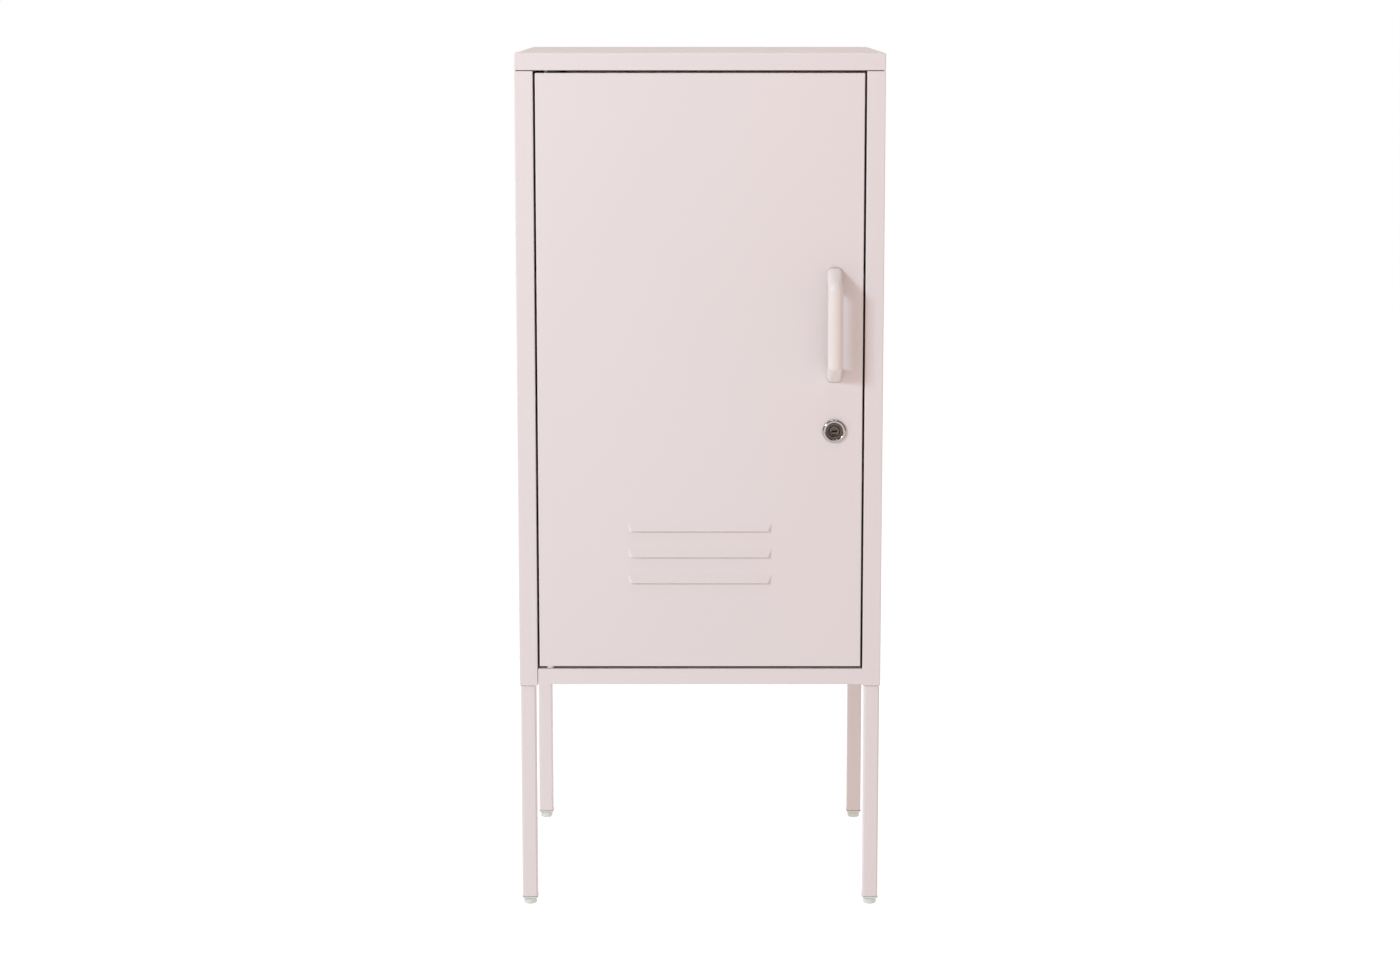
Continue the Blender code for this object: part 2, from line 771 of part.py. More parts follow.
def hinge_bush(plastic):
    """Flanged bush in the lid's front lip, around the top pin."""
    seat = LID_BOTTOM + SHEET + GAP
    profile = [
        (0.0055, seat + 0.0015),
        (0.0055, seat),
        (BUSH_RADIUS, seat),
        (BUSH_RADIUS, LID_BOTTOM - 0.0002),
        (PIN_BORE, LID_BOTTOM - 0.0002),
        (PIN_BORE, seat + 0.0015),
    ]
    place = (HINGE_X, HINGE_Y, 0.0)
    return turned("top_hinge_bush", profile, place, plastic, closed=True, steps=MEDIUM_STEPS)


def hinge_washer(plastic):
    """Washer between the door's lower edge and the floor, which carries the door."""
    high = DOOR_BOTTOM - GAP
    low = FLOOR_TOP + GAP
    profile = [(WASHER_RADIUS, high), (WASHER_RADIUS, low), (PIN_BORE, low), (PIN_BORE, high)]
    place = (HINGE_X, HINGE_Y, 0.0)
    return turned("bottom_hinge_washer", profile, place, plastic, closed=True, steps=MEDIUM_STEPS)


def handle_screw_levels():
    return (HANDLE_LOW + HANDLE_SCREW_INSET, HANDLE_HIGH - HANDLE_SCREW_INSET)


def door_handle(plastic):
    """Bridge pull with slanted ends. Its outline has x out from the door, y up."""
    middle = (HANDLE_LOW + HANDLE_HIGH) / 2
    half = (HANDLE_HIGH - HANDLE_LOW) / 2
    reach = HANDLE_REACH
    gap = HANDLE_REACH - GRIP_THICKNESS
    foot = half - HANDLE_FOOT
    grip = foot - 0.010
    upper_outer = [((GAP, half), 0.0), ((reach, half - HANDLE_SLANT), 0.008)]
    lower_outer = [((reach, HANDLE_SLANT - half), 0.008), ((GAP, -half), 0.0)]
    lower_inner = [((GAP, -foot), 0.0), ((gap, -grip), 0.005)]
    upper_inner = [((gap, grip), 0.005), ((GAP, foot), 0.0)]
    outline = rounded(upper_outer + lower_outer + lower_inner + upper_inner)
    to_world = Matrix(
        (
            (0.0, 0.0, 1.0, HANDLE_X),
            (-1.0, 0.0, 0.0, FRONT),
            (0.0, 1.0, 0.0, middle),
            (0.0, 0.0, 0.0, 1.0),
        )
    )
    handle = plate("door_handle", outline, 2 * HANDLE_HALF_WIDTH, to_world, plastic)
    weights = handle.data.attributes.new("bevel_weight_edge", "FLOAT", "EDGE")
    for edge in handle.data.edges:
        first, second = (handle.data.vertices[index].co for index in edge.vertices)
        in_flank = abs(first.z - second.z) < 0.0001
        on_door = max(first.x, second.x) < 2 * GAP
        weights.data[edge.index].value = 1.0 if in_flank and not on_door else 0.0
    bevel = handle.modifiers.new("edges", "BEVEL")
    bevel.width = 0.0025
    bevel.segments = 3
    bevel.limit_method = "WEIGHT"
    bores = [
        rod(
            f"handle_bore_{number}",
            SCREW_BORE,
            (HANDLE_X, FRONT - 0.011, z),
            (HANDLE_X, FRONT + 0.002, z),
        )
        for number, z in enumerate(handle_screw_levels(), 1)
    ]
    return combine(handle, bores)


def handle_screw(name, z, steel):
    """Pan-head screw from inside the door into the handle: local +Z points out of the door."""
    head = -(SHEET + GAP)
    profile = [
        (0.0, 0.010),
        (0.0016, 0.010),
        (0.0020, 0.0094),
        (0.0020, head),
        (0.0042, head),
        (0.0040, head - 0.0012),
        (0.0028, head - 0.0022),
        (0.0, head - 0.0022),
    ]
    return turned(name, profile, (HANDLE_X, FRONT, z), steel, lean=math.pi / 2, steps=SMALL_STEPS)


# Lock: local +Z points out of the door, and local z = 0 is the door's face


def lock_housing(chrome):
    profile = [
        (0.0118, 0.0030),
        (0.0132, 0.0026),
        (BEZEL_RADIUS, 0.0016),
        (BEZEL_RADIUS, GAP),
        (BARREL_RADIUS, GAP),
        (BARREL_RADIUS, -0.020),
        (PLUG_BORE, -0.020),
        (PLUG_BORE, 0.0020),
        (0.0100, 0.0020),
        (0.0104, 0.0030),
    ]
    place = (LOCK_X, FRONT, LOCK_Z)
    return turned("lock_housing", profile, place, chrome, lean=math.pi / 2, closed=True)


def lock_nut(steel):
    front = FRONT + SHEET + GAP
    back = front + 0.0032
    nut = rod("lock_nut", 0.0130, (LOCK_X, front, LOCK_Z), (LOCK_X, back, LOCK_Z), steel, steps=6)
    bore = rod(
        "lock_nut_bore",
        BARREL_RADIUS + GAP,
        (LOCK_X, front - 0.002, LOCK_Z),
        (LOCK_X, back + 0.002, LOCK_Z),
    )
    return combine(nut, [bore])


def lock_cylinder(chrome):
    profile = [
        (0.0, 0.0022),
        (PLUG_RADIUS - 0.0003, 0.0022),
        (PLUG_RADIUS, 0.0019),
        (PLUG_RADIUS, -0.0215),
        (0.0018, -0.0215),
        (0.0018, -0.0120),
        (0.0, -0.0120),
    ]
    place = (LOCK_X, FRONT, LOCK_Z)
    cylinder = turned("lock_cylinder", profile, place, chrome, lean=math.pi / 2)
    key_slot = box(
        "key_slot",
        (LOCK_X - 0.0035, FRONT - 0.006, LOCK_Z - 0.0008),
        (LOCK_X + 0.0035, FRONT + 0.005, LOCK_Z + 0.0008),
    )
    return combine(cylinder, [key_slot])


def lock_cam(steel):
    """Cam that hangs down when the door is free to open: outline x is across, y is up."""
    tip = -CAM_LENGTH
    corners = [
        ((CAM_HALF_WIDTH, 0.008), 0.004),
        ((-CAM_HALF_WIDTH, 0.008), 0.004),
        ((-CAM_HALF_WIDTH, tip), 0.005),
        ((CAM_HALF_WIDTH, tip), 0.005),
    ]
    middle = FRONT + 0.0218 + CAM_THICKNESS / 2
    to_world = Matrix.Translation((LOCK_X, middle, LOCK_Z)) @ Matrix.Rotation(math.pi / 2, 4, "X")
    cam = plate("lock_cam", rounded(corners), CAM_THICKNESS, to_world, steel)
    hole = rod(
        "cam_hole",
        0.0018,
        (LOCK_X, middle - 0.004, LOCK_Z),
        (LOCK_X, middle + 0.004, LOCK_Z),
    )
    return combine(cam, [hole])


def cam_screw(steel):
    head = -(0.0218 + CAM_THICKNESS + GAP)
    profile = [
        (0.0, -0.0130),
        (0.0015, -0.0130),
        (0.0015, head),
        (0.0042, head),
        (0.0040, head - 0.0013),
        (0.0028, head - 0.0022),
        (0.0, head - 0.0022),
    ]
    place = (LOCK_X, FRONT, LOCK_Z)
    return turned("cam_screw", profile, place, steel, lean=math.pi / 2, steps=SMALL_STEPS)


def catch_and_bumpers(rubber):
    """Flat magnet and two bumpers on the stop rail, facing the door's top lip."""
    front = DOOR_BACK + GAP
    back = STOP_FACE - GAP
    box("magnet_catch", (0.060, front, 0.986), (0.096, back, 0.996), rubber)
    for side, x in (("left", -0.140), ("right", 0.165)):
        rod(f"door_bumper_{side}", 0.004, (x, front, 0.991), (x, back, 0.991), rubber, steps=20)


def smooth_round_pieces():
    """Shade turned pieces smooth."""
    for obj in PARTS.objects:
        if obj.type == "MESH" and any(modifier.type == "SCREW" for modifier in obj.modifiers):
            obj.data.shade_smooth()


def main():
    paint = make_material("blush_powder_coat", (0.79, 0.69, 0.68), 0.45)
    shelf_paint = make_material("blush_powder_coat_inside", (0.79, 0.69, 0.68), 0.50)
    moulded = make_material("blush_moulded_plastic", (0.82, 0.70, 0.67), 0.40)
    foot_plastic = make_material("foot_plastic", (0.74, 0.73, 0.69), 0.35)
    nylon = make_material("nylon", (0.85, 0.83, 0.79), 0.45)
    chrome = make_material("chrome", (0.62, 0.60, 0.58), 0.15, 1.0)
    steel = make_material("zinc_steel", (0.60, 0.60, 0.60), 0.35, 1.0)
    rubber = make_material("dark_rubber", (0.05, 0.05, 0.05), 0.70)

    side_panel("left_side_panel", -1, paint)
    side_panel("right_side_panel", 1, paint)
    bottom_panel(paint)
    back_panel(paint)
    top_cap(paint)
    top_stop_rail(paint)
    cable_grommet(rubber)
    shelves(shelf_paint, steel)
    legs(paint, steel, foot_plastic)
    hinge_bush(nylon)
    hinge_washer(nylon)
    catch_and_bumpers(rubber)

    door_axis = make_axis("door_hinge_axis", (HINGE_X, HINGE_Y, DOOR_BOTTOM))
    lock_axis = make_axis("lock_axis", (LOCK_X, FRONT, LOCK_Z), door_axis)
    hang_on(
        door_axis,
        [
            door_panel(paint),
            door_stiffener(paint),
            hinge_pin("top_hinge_pin", DOOR_TOP, 1, 0.009, steel),
            hinge_pin("bottom_hinge_pin", DOOR_BOTTOM, -1, 0.011, steel),
            door_handle(moulded),
            lock_housing(chrome),
            lock_nut(steel),
        ]
        + [
            handle_screw(f"handle_screw_{number}", z, steel)
            for number, z in enumerate(handle_screw_levels(), 1)
        ],
    )
    hang_on(lock_axis, [lock_cylinder(chrome), lock_cam(steel), cam_screw(steel)])
    smooth_round_pieces()


clear_scene()
PARTS = make_collection("locker_cabinet")
CUTTERS = make_collection("cutters")
main()
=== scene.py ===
"""Looks of the locker cabinet: powder-coated sheet, moulded handle, plated lock, milky feet.

Metres, +Z up, in the CAD's frame: the door faces -Y and X runs to the right seen from the front.
"""

import json
import math

import bmesh
import bpy
from mathutils import Matrix, Vector


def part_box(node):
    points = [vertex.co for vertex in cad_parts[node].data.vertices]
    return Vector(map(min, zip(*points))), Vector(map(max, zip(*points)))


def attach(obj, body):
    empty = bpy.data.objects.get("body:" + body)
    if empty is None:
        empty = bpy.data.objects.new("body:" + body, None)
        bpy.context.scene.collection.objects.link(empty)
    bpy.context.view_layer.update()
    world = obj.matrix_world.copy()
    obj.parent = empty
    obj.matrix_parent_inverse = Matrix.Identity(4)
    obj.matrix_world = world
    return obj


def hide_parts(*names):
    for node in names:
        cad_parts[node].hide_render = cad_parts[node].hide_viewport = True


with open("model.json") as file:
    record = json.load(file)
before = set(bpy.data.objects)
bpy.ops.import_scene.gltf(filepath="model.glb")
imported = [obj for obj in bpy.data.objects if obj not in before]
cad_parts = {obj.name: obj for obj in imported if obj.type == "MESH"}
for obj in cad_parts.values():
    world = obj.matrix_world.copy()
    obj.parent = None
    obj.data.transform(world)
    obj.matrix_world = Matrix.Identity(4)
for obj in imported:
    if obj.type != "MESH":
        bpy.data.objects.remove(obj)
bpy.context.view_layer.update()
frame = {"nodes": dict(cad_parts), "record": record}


def centre_of(name):
    """Middle of a node's box."""
    return [(low + high) / 2 for low, high in zip(*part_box(name))]


# Places read from the frame
SIDE_LOW, SIDE_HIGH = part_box("right_side_panel")
DOOR_LOW, DOOR_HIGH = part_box("door_panel")
LID_LOW, LID_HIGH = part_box("top_cap")
FLOOR_LOW, FLOOR_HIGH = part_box("bottom_panel")
HANDLE_LOW, HANDLE_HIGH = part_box("door_handle")
LOCK_LOW, LOCK_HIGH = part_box("lock_housing")
SIDE = SIDE_HIGH.x
FRONT = SIDE_LOW.y
BACK = SIDE_HIGH.y
HANDLE_X = centre_of("door_handle")[0]
LOCK_X, _, LOCK_Z = centre_of("lock_housing")
HINGE_X, HINGE_Y, _ = centre_of("top_hinge_pin")

# Sheet metal, as in the CAD
SHEET = 0.001
POST_WIDTH = 0.0215
POST_DEPTH = 0.020
POST_INNER = SIDE - POST_WIDTH
REAR_FLANGE = 0.015
WELD_FLANGE = 0.012
LID_LIP = 0.016
SHELF_LIP = 0.008
DOOR_DEPTH = 0.016
DOOR_LIP = 0.012
LEG_PLATE = 0.0025

# Outer radii of the folds
FOLD = 0.0012
DOOR_FOLD = 0.0011
LID_FOLD = 0.0014
UPRIGHT_FOLD = 0.0014
CLIP_FOLD = 0.0016
STIFFENER_FOLD = 0.0018

# Radii of the holes in the sheet
LOCK_HOLE = 0.0092
SCREW_HOLE = 0.0023
PIN_HOLE = 0.0028
BUSH_HOLE = 0.0043
BOLT_HOLE = 0.0034

# Louvres
LOUVRE_LIPS = (0.3966, 0.4278, 0.4590)  # heights of the open lower edges
LOUVRE_HALF = 0.0837  # half length of a lip
LOUVRE_END = 0.0032  # width of an end wall
LOUVRE_FLARE = 0.28  # how fast the end walls spread above the lip
LOUVRE_REACH = 0.0029
LOUVRE_HEIGHT = 0.013

# Shelf clips and the slots that hold them
CLIP_THICKNESS = 0.0012
SLOT_HALF_WIDTH = 0.0046
SLOT_HALF_HEIGHT = 0.0012
SLOTS_BETWEEN = 7  # pitches from the lower shelf to the upper one

# Faces around a turned piece
FINE_STEPS = 64
LARGE_STEPS = 96

TINY = 0.00001
UP = (0.0, 0.0, 1.0)


# Materials


def link(tree, source, output, target, socket):
    tree.links.new(source.outputs[output], target.inputs[socket])


def new_material(name, roughness, metallic=0.0):
    """A Principled material, and its tree, shader and object coordinates."""
    material = bpy.data.materials.new(name)
    material.use_nodes = True
    tree = material.node_tree
    shader = tree.nodes["Principled BSDF"]
    shader.inputs["Roughness"].default_value = roughness
    shader.inputs["Metallic"].default_value = metallic
    coordinates = tree.nodes.new("ShaderNodeTexCoord")
    return material, tree, shader, coordinates


def add_noise(tree, coordinates, scale, detail=2.0, stretch=(1.0, 1.0, 1.0)):
    mapping = tree.nodes.new("ShaderNodeMapping")
    mapping.inputs["Scale"].default_value = stretch
    link(tree, coordinates, "Object", mapping, "Vector")
    noise = tree.nodes.new("ShaderNodeTexNoise")
    noise.inputs["Scale"].default_value = scale
    noise.inputs["Detail"].default_value = detail
    link(tree, mapping, "Vector", noise, "Vector")
    return noise


def vary(tree, noise, low, high, shader, socket):
    """Drive a number on the shader between two values by a noise."""
    spread = tree.nodes.new("ShaderNodeMapRange")
    spread.inputs["From Min"].default_value = 0.3
    spread.inputs["From Max"].default_value = 0.7
    spread.inputs["To Min"].default_value = low
    spread.inputs["To Max"].default_value = high
    link(tree, noise, "Fac", spread, "Value")
    link(tree, spread, "Result", shader, socket)


def add_ramp(tree, *stops):
    """Colour ramp through two (position, colour) stops."""
    ramp = tree.nodes.new("ShaderNodeValToRGB")
    for element, (position, colour) in zip(ramp.color_ramp.elements, stops):
        element.position = position
        element.color = (*colour, 1.0)
    return ramp


def tint(tree, coordinates, scale, first, second, shader):
    """Base colour that drifts between two close colours, over patches set by scale."""
    ramp = add_ramp(tree, (0.3, first), (0.7, second))
    link(tree, add_noise(tree, coordinates, scale), "Fac", ramp, "Fac")
    link(tree, ramp, "Color", shader, "Base Color")


def bump(tree, noises, shader):
    """Stack bumps: each noise with its height in metres."""
    previous = None
    for noise, height in noises:
        node = tree.nodes.new("ShaderNodeBump")
        node.inputs["Strength"].default_value = 1.0
        node.inputs["Distance"].default_value = height
        link(tree, noise, "Fac", node, "Height")
        if previous is not None:
            link(tree, previous, "Normal", node, "Normal")
        previous = node
    link(tree, previous, "Normal", shader, "Normal")


def powder_coat():
    """Satin blush powder coat: broad drift of tone, orange peel, fine grain."""
    material, tree, shader, coordinates = new_material("powder_coat", 0.45)
    tint(tree, coordinates, 2.2, (0.646, 0.568, 0.566), (0.656, 0.575, 0.575), shader)
    vary(tree, add_noise(tree, coordinates, 60.0), 0.42, 0.50, shader, "Roughness")
    peel = add_noise(tree, coordinates, 420.0, 1.0)
    grain = add_noise(tree, coordinates, 1900.0, 2.0)
    bump(tree, [(peel, 0.000035), (grain, 0.000012)], shader)
    shader.inputs["Specular IOR Level"].default_value = 0.42
    return material


def moulded_plastic():
    """Handle: the body's colour, a little creamier, with a spark-eroded texture."""
    material, tree, shader, coordinates = new_material("moulded_plastic", 0.40)
    tint(tree, coordinates, 14.0, (0.662, 0.578, 0.556), (0.672, 0.586, 0.566), shader)
    vary(tree, add_noise(tree, coordinates, 220.0), 0.34, 0.42, shader, "Roughness")
    bump(tree, [(add_noise(tree, coordinates, 2600.0), 0.000010)], shader)
    shader.inputs["Subsurface Weight"].default_value = 0.08
    shader.inputs["Subsurface Radius"].default_value = (0.004, 0.002, 0.0015)
    return material


def foot_plastic():
    """Greyish white plastic, milky enough for light to spread inside it."""
    material, tree, shader, coordinates = new_material("foot_plastic", 0.34)
    tint(tree, coordinates, 90.0, (0.57, 0.58, 0.55), (0.61, 0.62, 0.59), shader)
    vary(tree, add_noise(tree, coordinates, 500.0), 0.28, 0.40, shader, "Roughness")
    bump(tree, [(add_noise(tree, coordinates, 1400.0), 0.000006)], shader)
    shader.inputs["Subsurface Weight"].default_value = 0.25
    shader.inputs["Subsurface Radius"].default_value = (0.003, 0.003, 0.0027)
    return material


def nylon():
    """Off-white, slightly waxy plastic."""
    material, tree, shader, coordinates = new_material("nylon", 0.42)
    tint(tree, coordinates, 120.0, (0.78, 0.75, 0.68), (0.84, 0.81, 0.75), shader)
    bump(tree, [(add_noise(tree, coordinates, 1500.0), 0.00001)], shader)
    shader.inputs["Subsurface Weight"].default_value = 0.2
    shader.inputs["Subsurface Radius"].default_value = (0.002, 0.002, 0.0015)
    return material


def rubber():
    """Near-black rubber with an uneven, matt skin."""
    material, tree, shader, coordinates = new_material("rubber", 0.75)
    tint(tree, coordinates, 300.0, (0.018, 0.018, 0.019), (0.034, 0.033, 0.032), shader)
    vary(tree, add_noise(tree, coordinates, 200.0), 0.62, 0.85, shader, "Roughness")
    bump(tree, [(add_noise(tree, coordinates, 1400.0), 0.00003)], shader)
    return material


def plated(name, first, second, roughness, streak=(1.0, 1.0, 1.0)):
    """Metal whose fine wear is drawn out along one direction by streak."""
    material, tree, shader, coordinates = new_material(name, roughness, 1.0)
    tint(tree, coordinates, 160.0, first, second, shader)
    wear = add_noise(tree, coordinates, 900.0, 4.0, streak)
    vary(tree, wear, 0.7 * roughness, 1.5 * roughness, shader, "Roughness")
    bump(tree, [(add_noise(tree, coordinates, 1800.0, 3.0, streak), 0.000004)], shader)
    return material


def floor_material():
    """White floor that glows like the backdrop and takes only a faint shadow."""
    material, tree, shader, coordinates = new_material("studio_floor", 0.9)
    tint(tree, coordinates, 0.8, (0.13, 0.13, 0.13), (0.15, 0.15, 0.15), shader)
    shader.inputs["Emission Color"].default_value = (1.0, 1.0, 1.0, 1.0)
    shader.inputs["Emission Strength"].default_value = 0.98
    shader.inputs["Specular IOR Level"].default_value = 0.0
    return material


PAINT = powder_coat()
MOULDED = moulded_plastic()
FOOT = foot_plastic()
NYLON = nylon()
RUBBER = rubber()
CHROME = plated("chrome", (0.42, 0.405, 0.40), (0.48, 0.465, 0.46), 0.07)
LOCK_FACE = plated("lock_face", (0.10, 0.082, 0.076), (0.15, 0.125, 0.115), 0.16)
LENGTHWISE = (1.0, 1.0, 0.15)
ZINC = plated("zinc_steel", (0.56, 0.56, 0.58), (0.68, 0.67, 0.64), 0.30, LENGTHWISE)
# Hinge pins: the zinc steel darkened, as painted shade for the narrow gaps above and below the door
# where they sit
SHADED_PIN_ZINC = plated("shaded_pin_zinc", (0.17, 0.16, 0.155), (0.22, 0.21, 0.20), 0.38, LENGTHWISE)

SLOT_MATERIALS = {
    "powder_coat": PAINT,
    "moulded_plastic": MOULDED,
    "foot_plastic": FOOT,
    "nylon": NYLON,
    "rubber": RUBBER,
    "chrome": CHROME,
    "zinc_steel": ZINC,
}


# Shape helpers


def add_piece(name, bm, material, place=(0.0, 0.0, 0.0), lean=0.0):
    mesh = bpy.data.meshes.new(name)
    bm.to_mesh(mesh)
    bm.free()
    mesh.materials.append(material)
    mesh.shade_smooth()
    piece = bpy.data.objects.new(name, mesh)
    piece.location = place
    piece.rotation_euler = (lean, 0.0, 0.0)
    bpy.context.scene.collection.objects.link(piece)
    return piece


def soften(piece, width, segments=2, angle=35.0):
    """Round the piece's remaining sharp edges and even its shading."""
    bevel = piece.modifiers.new("edges", "BEVEL")
    bevel.width = width
    bevel.segments = segments
    bevel.limit_method = "ANGLE"
    bevel.angle_limit = math.radians(angle)
    bevel.use_clamp_overlap = True
    normals = piece.modifiers.new("normals", "WEIGHTED_NORMAL")
    normals.weight = 80
    normals.keep_sharp = True
    return piece


def mark_sharp(piece, angle):
    piece.data.set_sharp_from_angle(angle=math.radians(angle))


def stand_for(piece, body, slot, *nodes):
    """Attach a piece to its body, in place of the CAD nodes named; the slot is not used."""
    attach(piece, body)
    if nodes:
        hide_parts(*nodes)


def open_edges(bm):
    return [edge for edge in bm.edges if edge.is_boundary]


def extrude_edges(bm, edges, step):
    made = bmesh.ops.extrude_edge_only(bm, edges=edges)["geom"]
    verts = [item for item in made if isinstance(item, bmesh.types.BMVert)]
    bmesh.ops.translate(bm, vec=step, verts=verts)
    return verts


def strip(profile, run):
    """An open profile of 3D points swept along one vector."""
    bm = bmesh.new()
    points = [bm.verts.new(point) for point in profile]
    edges = [bm.edges.new(pair) for pair in zip(points, points[1:])]
    extrude_edges(bm, edges, run)
    return bm


def face_out(bm, outward):
    """Turn an open surface's normals so that its largest face looks outward."""
    bmesh.ops.recalc_face_normals(bm, faces=bm.faces)
    bm.normal_update()
    widest = max(bm.faces, key=lambda face: face.calc_area())
    if widest.normal.dot(Vector(outward)) < 0:
        bmesh.ops.reverse_faces(bm, faces=bm.faces)
    bm.normal_update()


def round_folds(bm, radius, segments=4, angle=40.0, chosen=lambda edge: True):
    """Replace each chosen fold sharper than an angle with an arc."""
    least = math.radians(angle)
    inside = [edge for edge in bm.edges if len(edge.link_faces) == 2]
    folds = [edge for edge in inside if edge.calc_face_angle() > least and chosen(edge)]
    bmesh.ops.bevel(
        bm,
        geom=folds,
        offset=radius,
        segments=segments,
        profile=0.5,
        affect="EDGES",
        clamp_overlap=True,
    )


def folded(
    name,
    bm,
    outward,
    material=PAINT,
    place=(0.0, 0.0, 0.0),
    lean=0.0,
    radius=FOLD,
    thickness=SHEET,
    holes=(),
    solver="EXACT",
):
    """A folded sheet: rounded folds, real thickness, holes and broken edges."""
    face_out(bm, outward)
    if radius:
        round_folds(bm, radius)
        face_out(bm, outward)
    piece = add_piece(name, bm, material, place, lean)
    solid = piece.modifiers.new("sheet", "SOLIDIFY")
    solid.thickness = thickness
    solid.offset = -1.0
    solid.use_even_offset = True
    solid.use_quality_normals = True
    if holes:
        cut(piece, holes, solver)
    return soften(piece, 0.00022, 2, 50.0)


def tray_mesh(width, length, depth, lip):
    """Open surface of a sheet folded down on four sides, with a lip turned in."""
    bm = bmesh.new()
    bmesh.ops.create_grid(bm, x_segments=1, y_segments=1, size=0.5)
    bmesh.ops.scale(bm, vec=(width, length, 1.0), verts=bm.verts)
    turn_down(bm, depth, lip)
    return bm


def turn_down(bm, depth, lip):
    """Fold the edges of a flat face down, and a lip in."""
    extrude_edges(bm, open_edges(bm), (0.0, 0.0, -depth))
    for vert in extrude_edges(bm, open_edges(bm), (0.0, 0.0, 0.0)):
        vert.co.x -= math.copysign(lip, vert.co.x)
        vert.co.y -= math.copysign(lip, vert.co.y)


def turned(name, profile, place, material, lean=0.0, closed=False, steps=FINE_STEPS):
    """Spin (radius, height) points, listed down the outer side, about local Z."""
    bm = bmesh.new()
    points = [bm.verts.new((radius, 0.0, height)) for radius, height in profile]
    pairs = list(zip(points, points[1:]))
    if closed:
        pairs.append((points[-1], points[0]))
    edges = [bm.edges.new(pair) for pair in pairs]
    round_once = 2 * math.pi
    centre = (0.0, 0.0, 0.0)
    bmesh.ops.spin(bm, geom=points + edges, axis=UP, cent=centre, steps=steps, angle=round_once)
    bmesh.ops.remove_doubles(bm, verts=bm.verts, dist=0.000005)
    bmesh.ops.recalc_face_normals(bm, faces=bm.faces)
    return add_piece(name, bm, material, place, lean)


def arc(centre, radius, start, end, steps=6):
    """Points on a flat arc; angles in degrees."""
    x, y = centre
    turns = [math.radians(start + (end - start) * i / steps) for i in range(steps + 1)]
    return [(x + radius * math.cos(turn), y + radius * math.sin(turn)) for turn in turns]


def fillet(before, corner, after, radius, steps):
    """Points of an arc that rounds the corner of a flat outline."""
    corner = Vector(corner)
    to_before = (Vector(before) - corner).normalized()
    to_after = (Vector(after) - corner).normalized()
    half = to_before.angle(to_after) / 2
    centre = corner + (to_before + to_after).normalized() * radius / math.sin(half)
    start = corner + to_before * radius / math.tan(half) - centre
    end = corner + to_after * radius / math.tan(half) - centre
    turns = [start.normalized().slerp(end.normalized(), i / steps) for i in range(steps + 1)]
    return [centre + radius * turn for turn in turns]


def loft(name, rings, material):
    """Join closed rings of points into one capped solid."""
    bm = bmesh.new()
    rows = [[bm.verts.new(point) for point in ring] for ring in rings]
    count = len(rows[0])
    for row, following in zip(rows, rows[1:]):
        for i in range(count):
            bm.faces.new((row[i], row[(i + 1) % count], following[(i + 1) % count], following[i]))
    bm.faces.new(rows[0])
    bm.faces.new(rows[-1])
    bmesh.ops.recalc_face_normals(bm, faces=bm.faces)
    return add_piece(name, bm, material)


def cut(piece, cutters, solver="EXACT"):
    """Cut closed meshes out of a piece, and drop the cutters."""
    for number, cutter in enumerate(cutters):
        boolean = piece.modifiers.new(f"cut_{number}", "BOOLEAN")
        boolean.operation = "DIFFERENCE"
        boolean.solver = solver
        boolean.object = cutter
    bake(piece)
    for cutter in cutters:
        bpy.data.objects.remove(cutter)


def bake(piece):
    """Apply the piece's modifiers."""
    bpy.context.view_layer.update()
    evaluated = piece.evaluated_get(bpy.context.evaluated_depsgraph_get())
    mesh = bpy.data.meshes.new_from_object(evaluated)
    piece.modifiers.clear()
    old = piece.data
    piece.data = mesh
    bpy.data.meshes.remove(old)
    mesh.name = piece.name


def add_box(bm, middle, size):
    made = bmesh.ops.create_cube(bm, size=1.0)["verts"]
    bmesh.ops.scale(bm, vec=size, verts=made)
    bmesh.ops.translate(bm, vec=middle, verts=made)


def rod(radius, start, end, steps=FINE_STEPS):
    """Cylinder between two points, as a cutter."""
    start = Vector(start)
    end = Vector(end)
    run = end - start
    bm = bmesh.new()
    bmesh.ops.create_cone(
        bm, cap_ends=True, segments=steps, radius1=radius, radius2=radius, depth=run.length
    )
    turn = run.to_track_quat("Z", "Y").to_matrix().to_4x4()
    bmesh.ops.transform(bm, matrix=Matrix.Translation((start + end) / 2) @ turn, verts=bm.verts)
    return add_piece("hole", bm, PAINT)


def door_hole(x, z, radius):
    """Cutter through the door's face."""
    return rod(radius, (x, FRONT - 0.004, z), (x, FRONT + 0.004, z))


def upright_hole(x, y, z, radius, steps=FINE_STEPS):
    """Cutter through a level sheet."""
    return rod(radius, (x, y, z - 0.0035), (x, y, z + 0.0035), steps)


def bolt_holes(side, rows=("front", "rear")):
    """Cutters for the leg bolts on one side."""
    holes = []
    for name in sorted(frame["nodes"]):
        if any(name.startswith(f"leg_bolt_{row}_{side}_") for row in rows):
            low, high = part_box(name)
            middle = (low + high) / 2
            holes.append(upright_hole(middle.x, middle.y, SIDE_LOW.z, BOLT_HOLE, 32))
    return holes


# Body


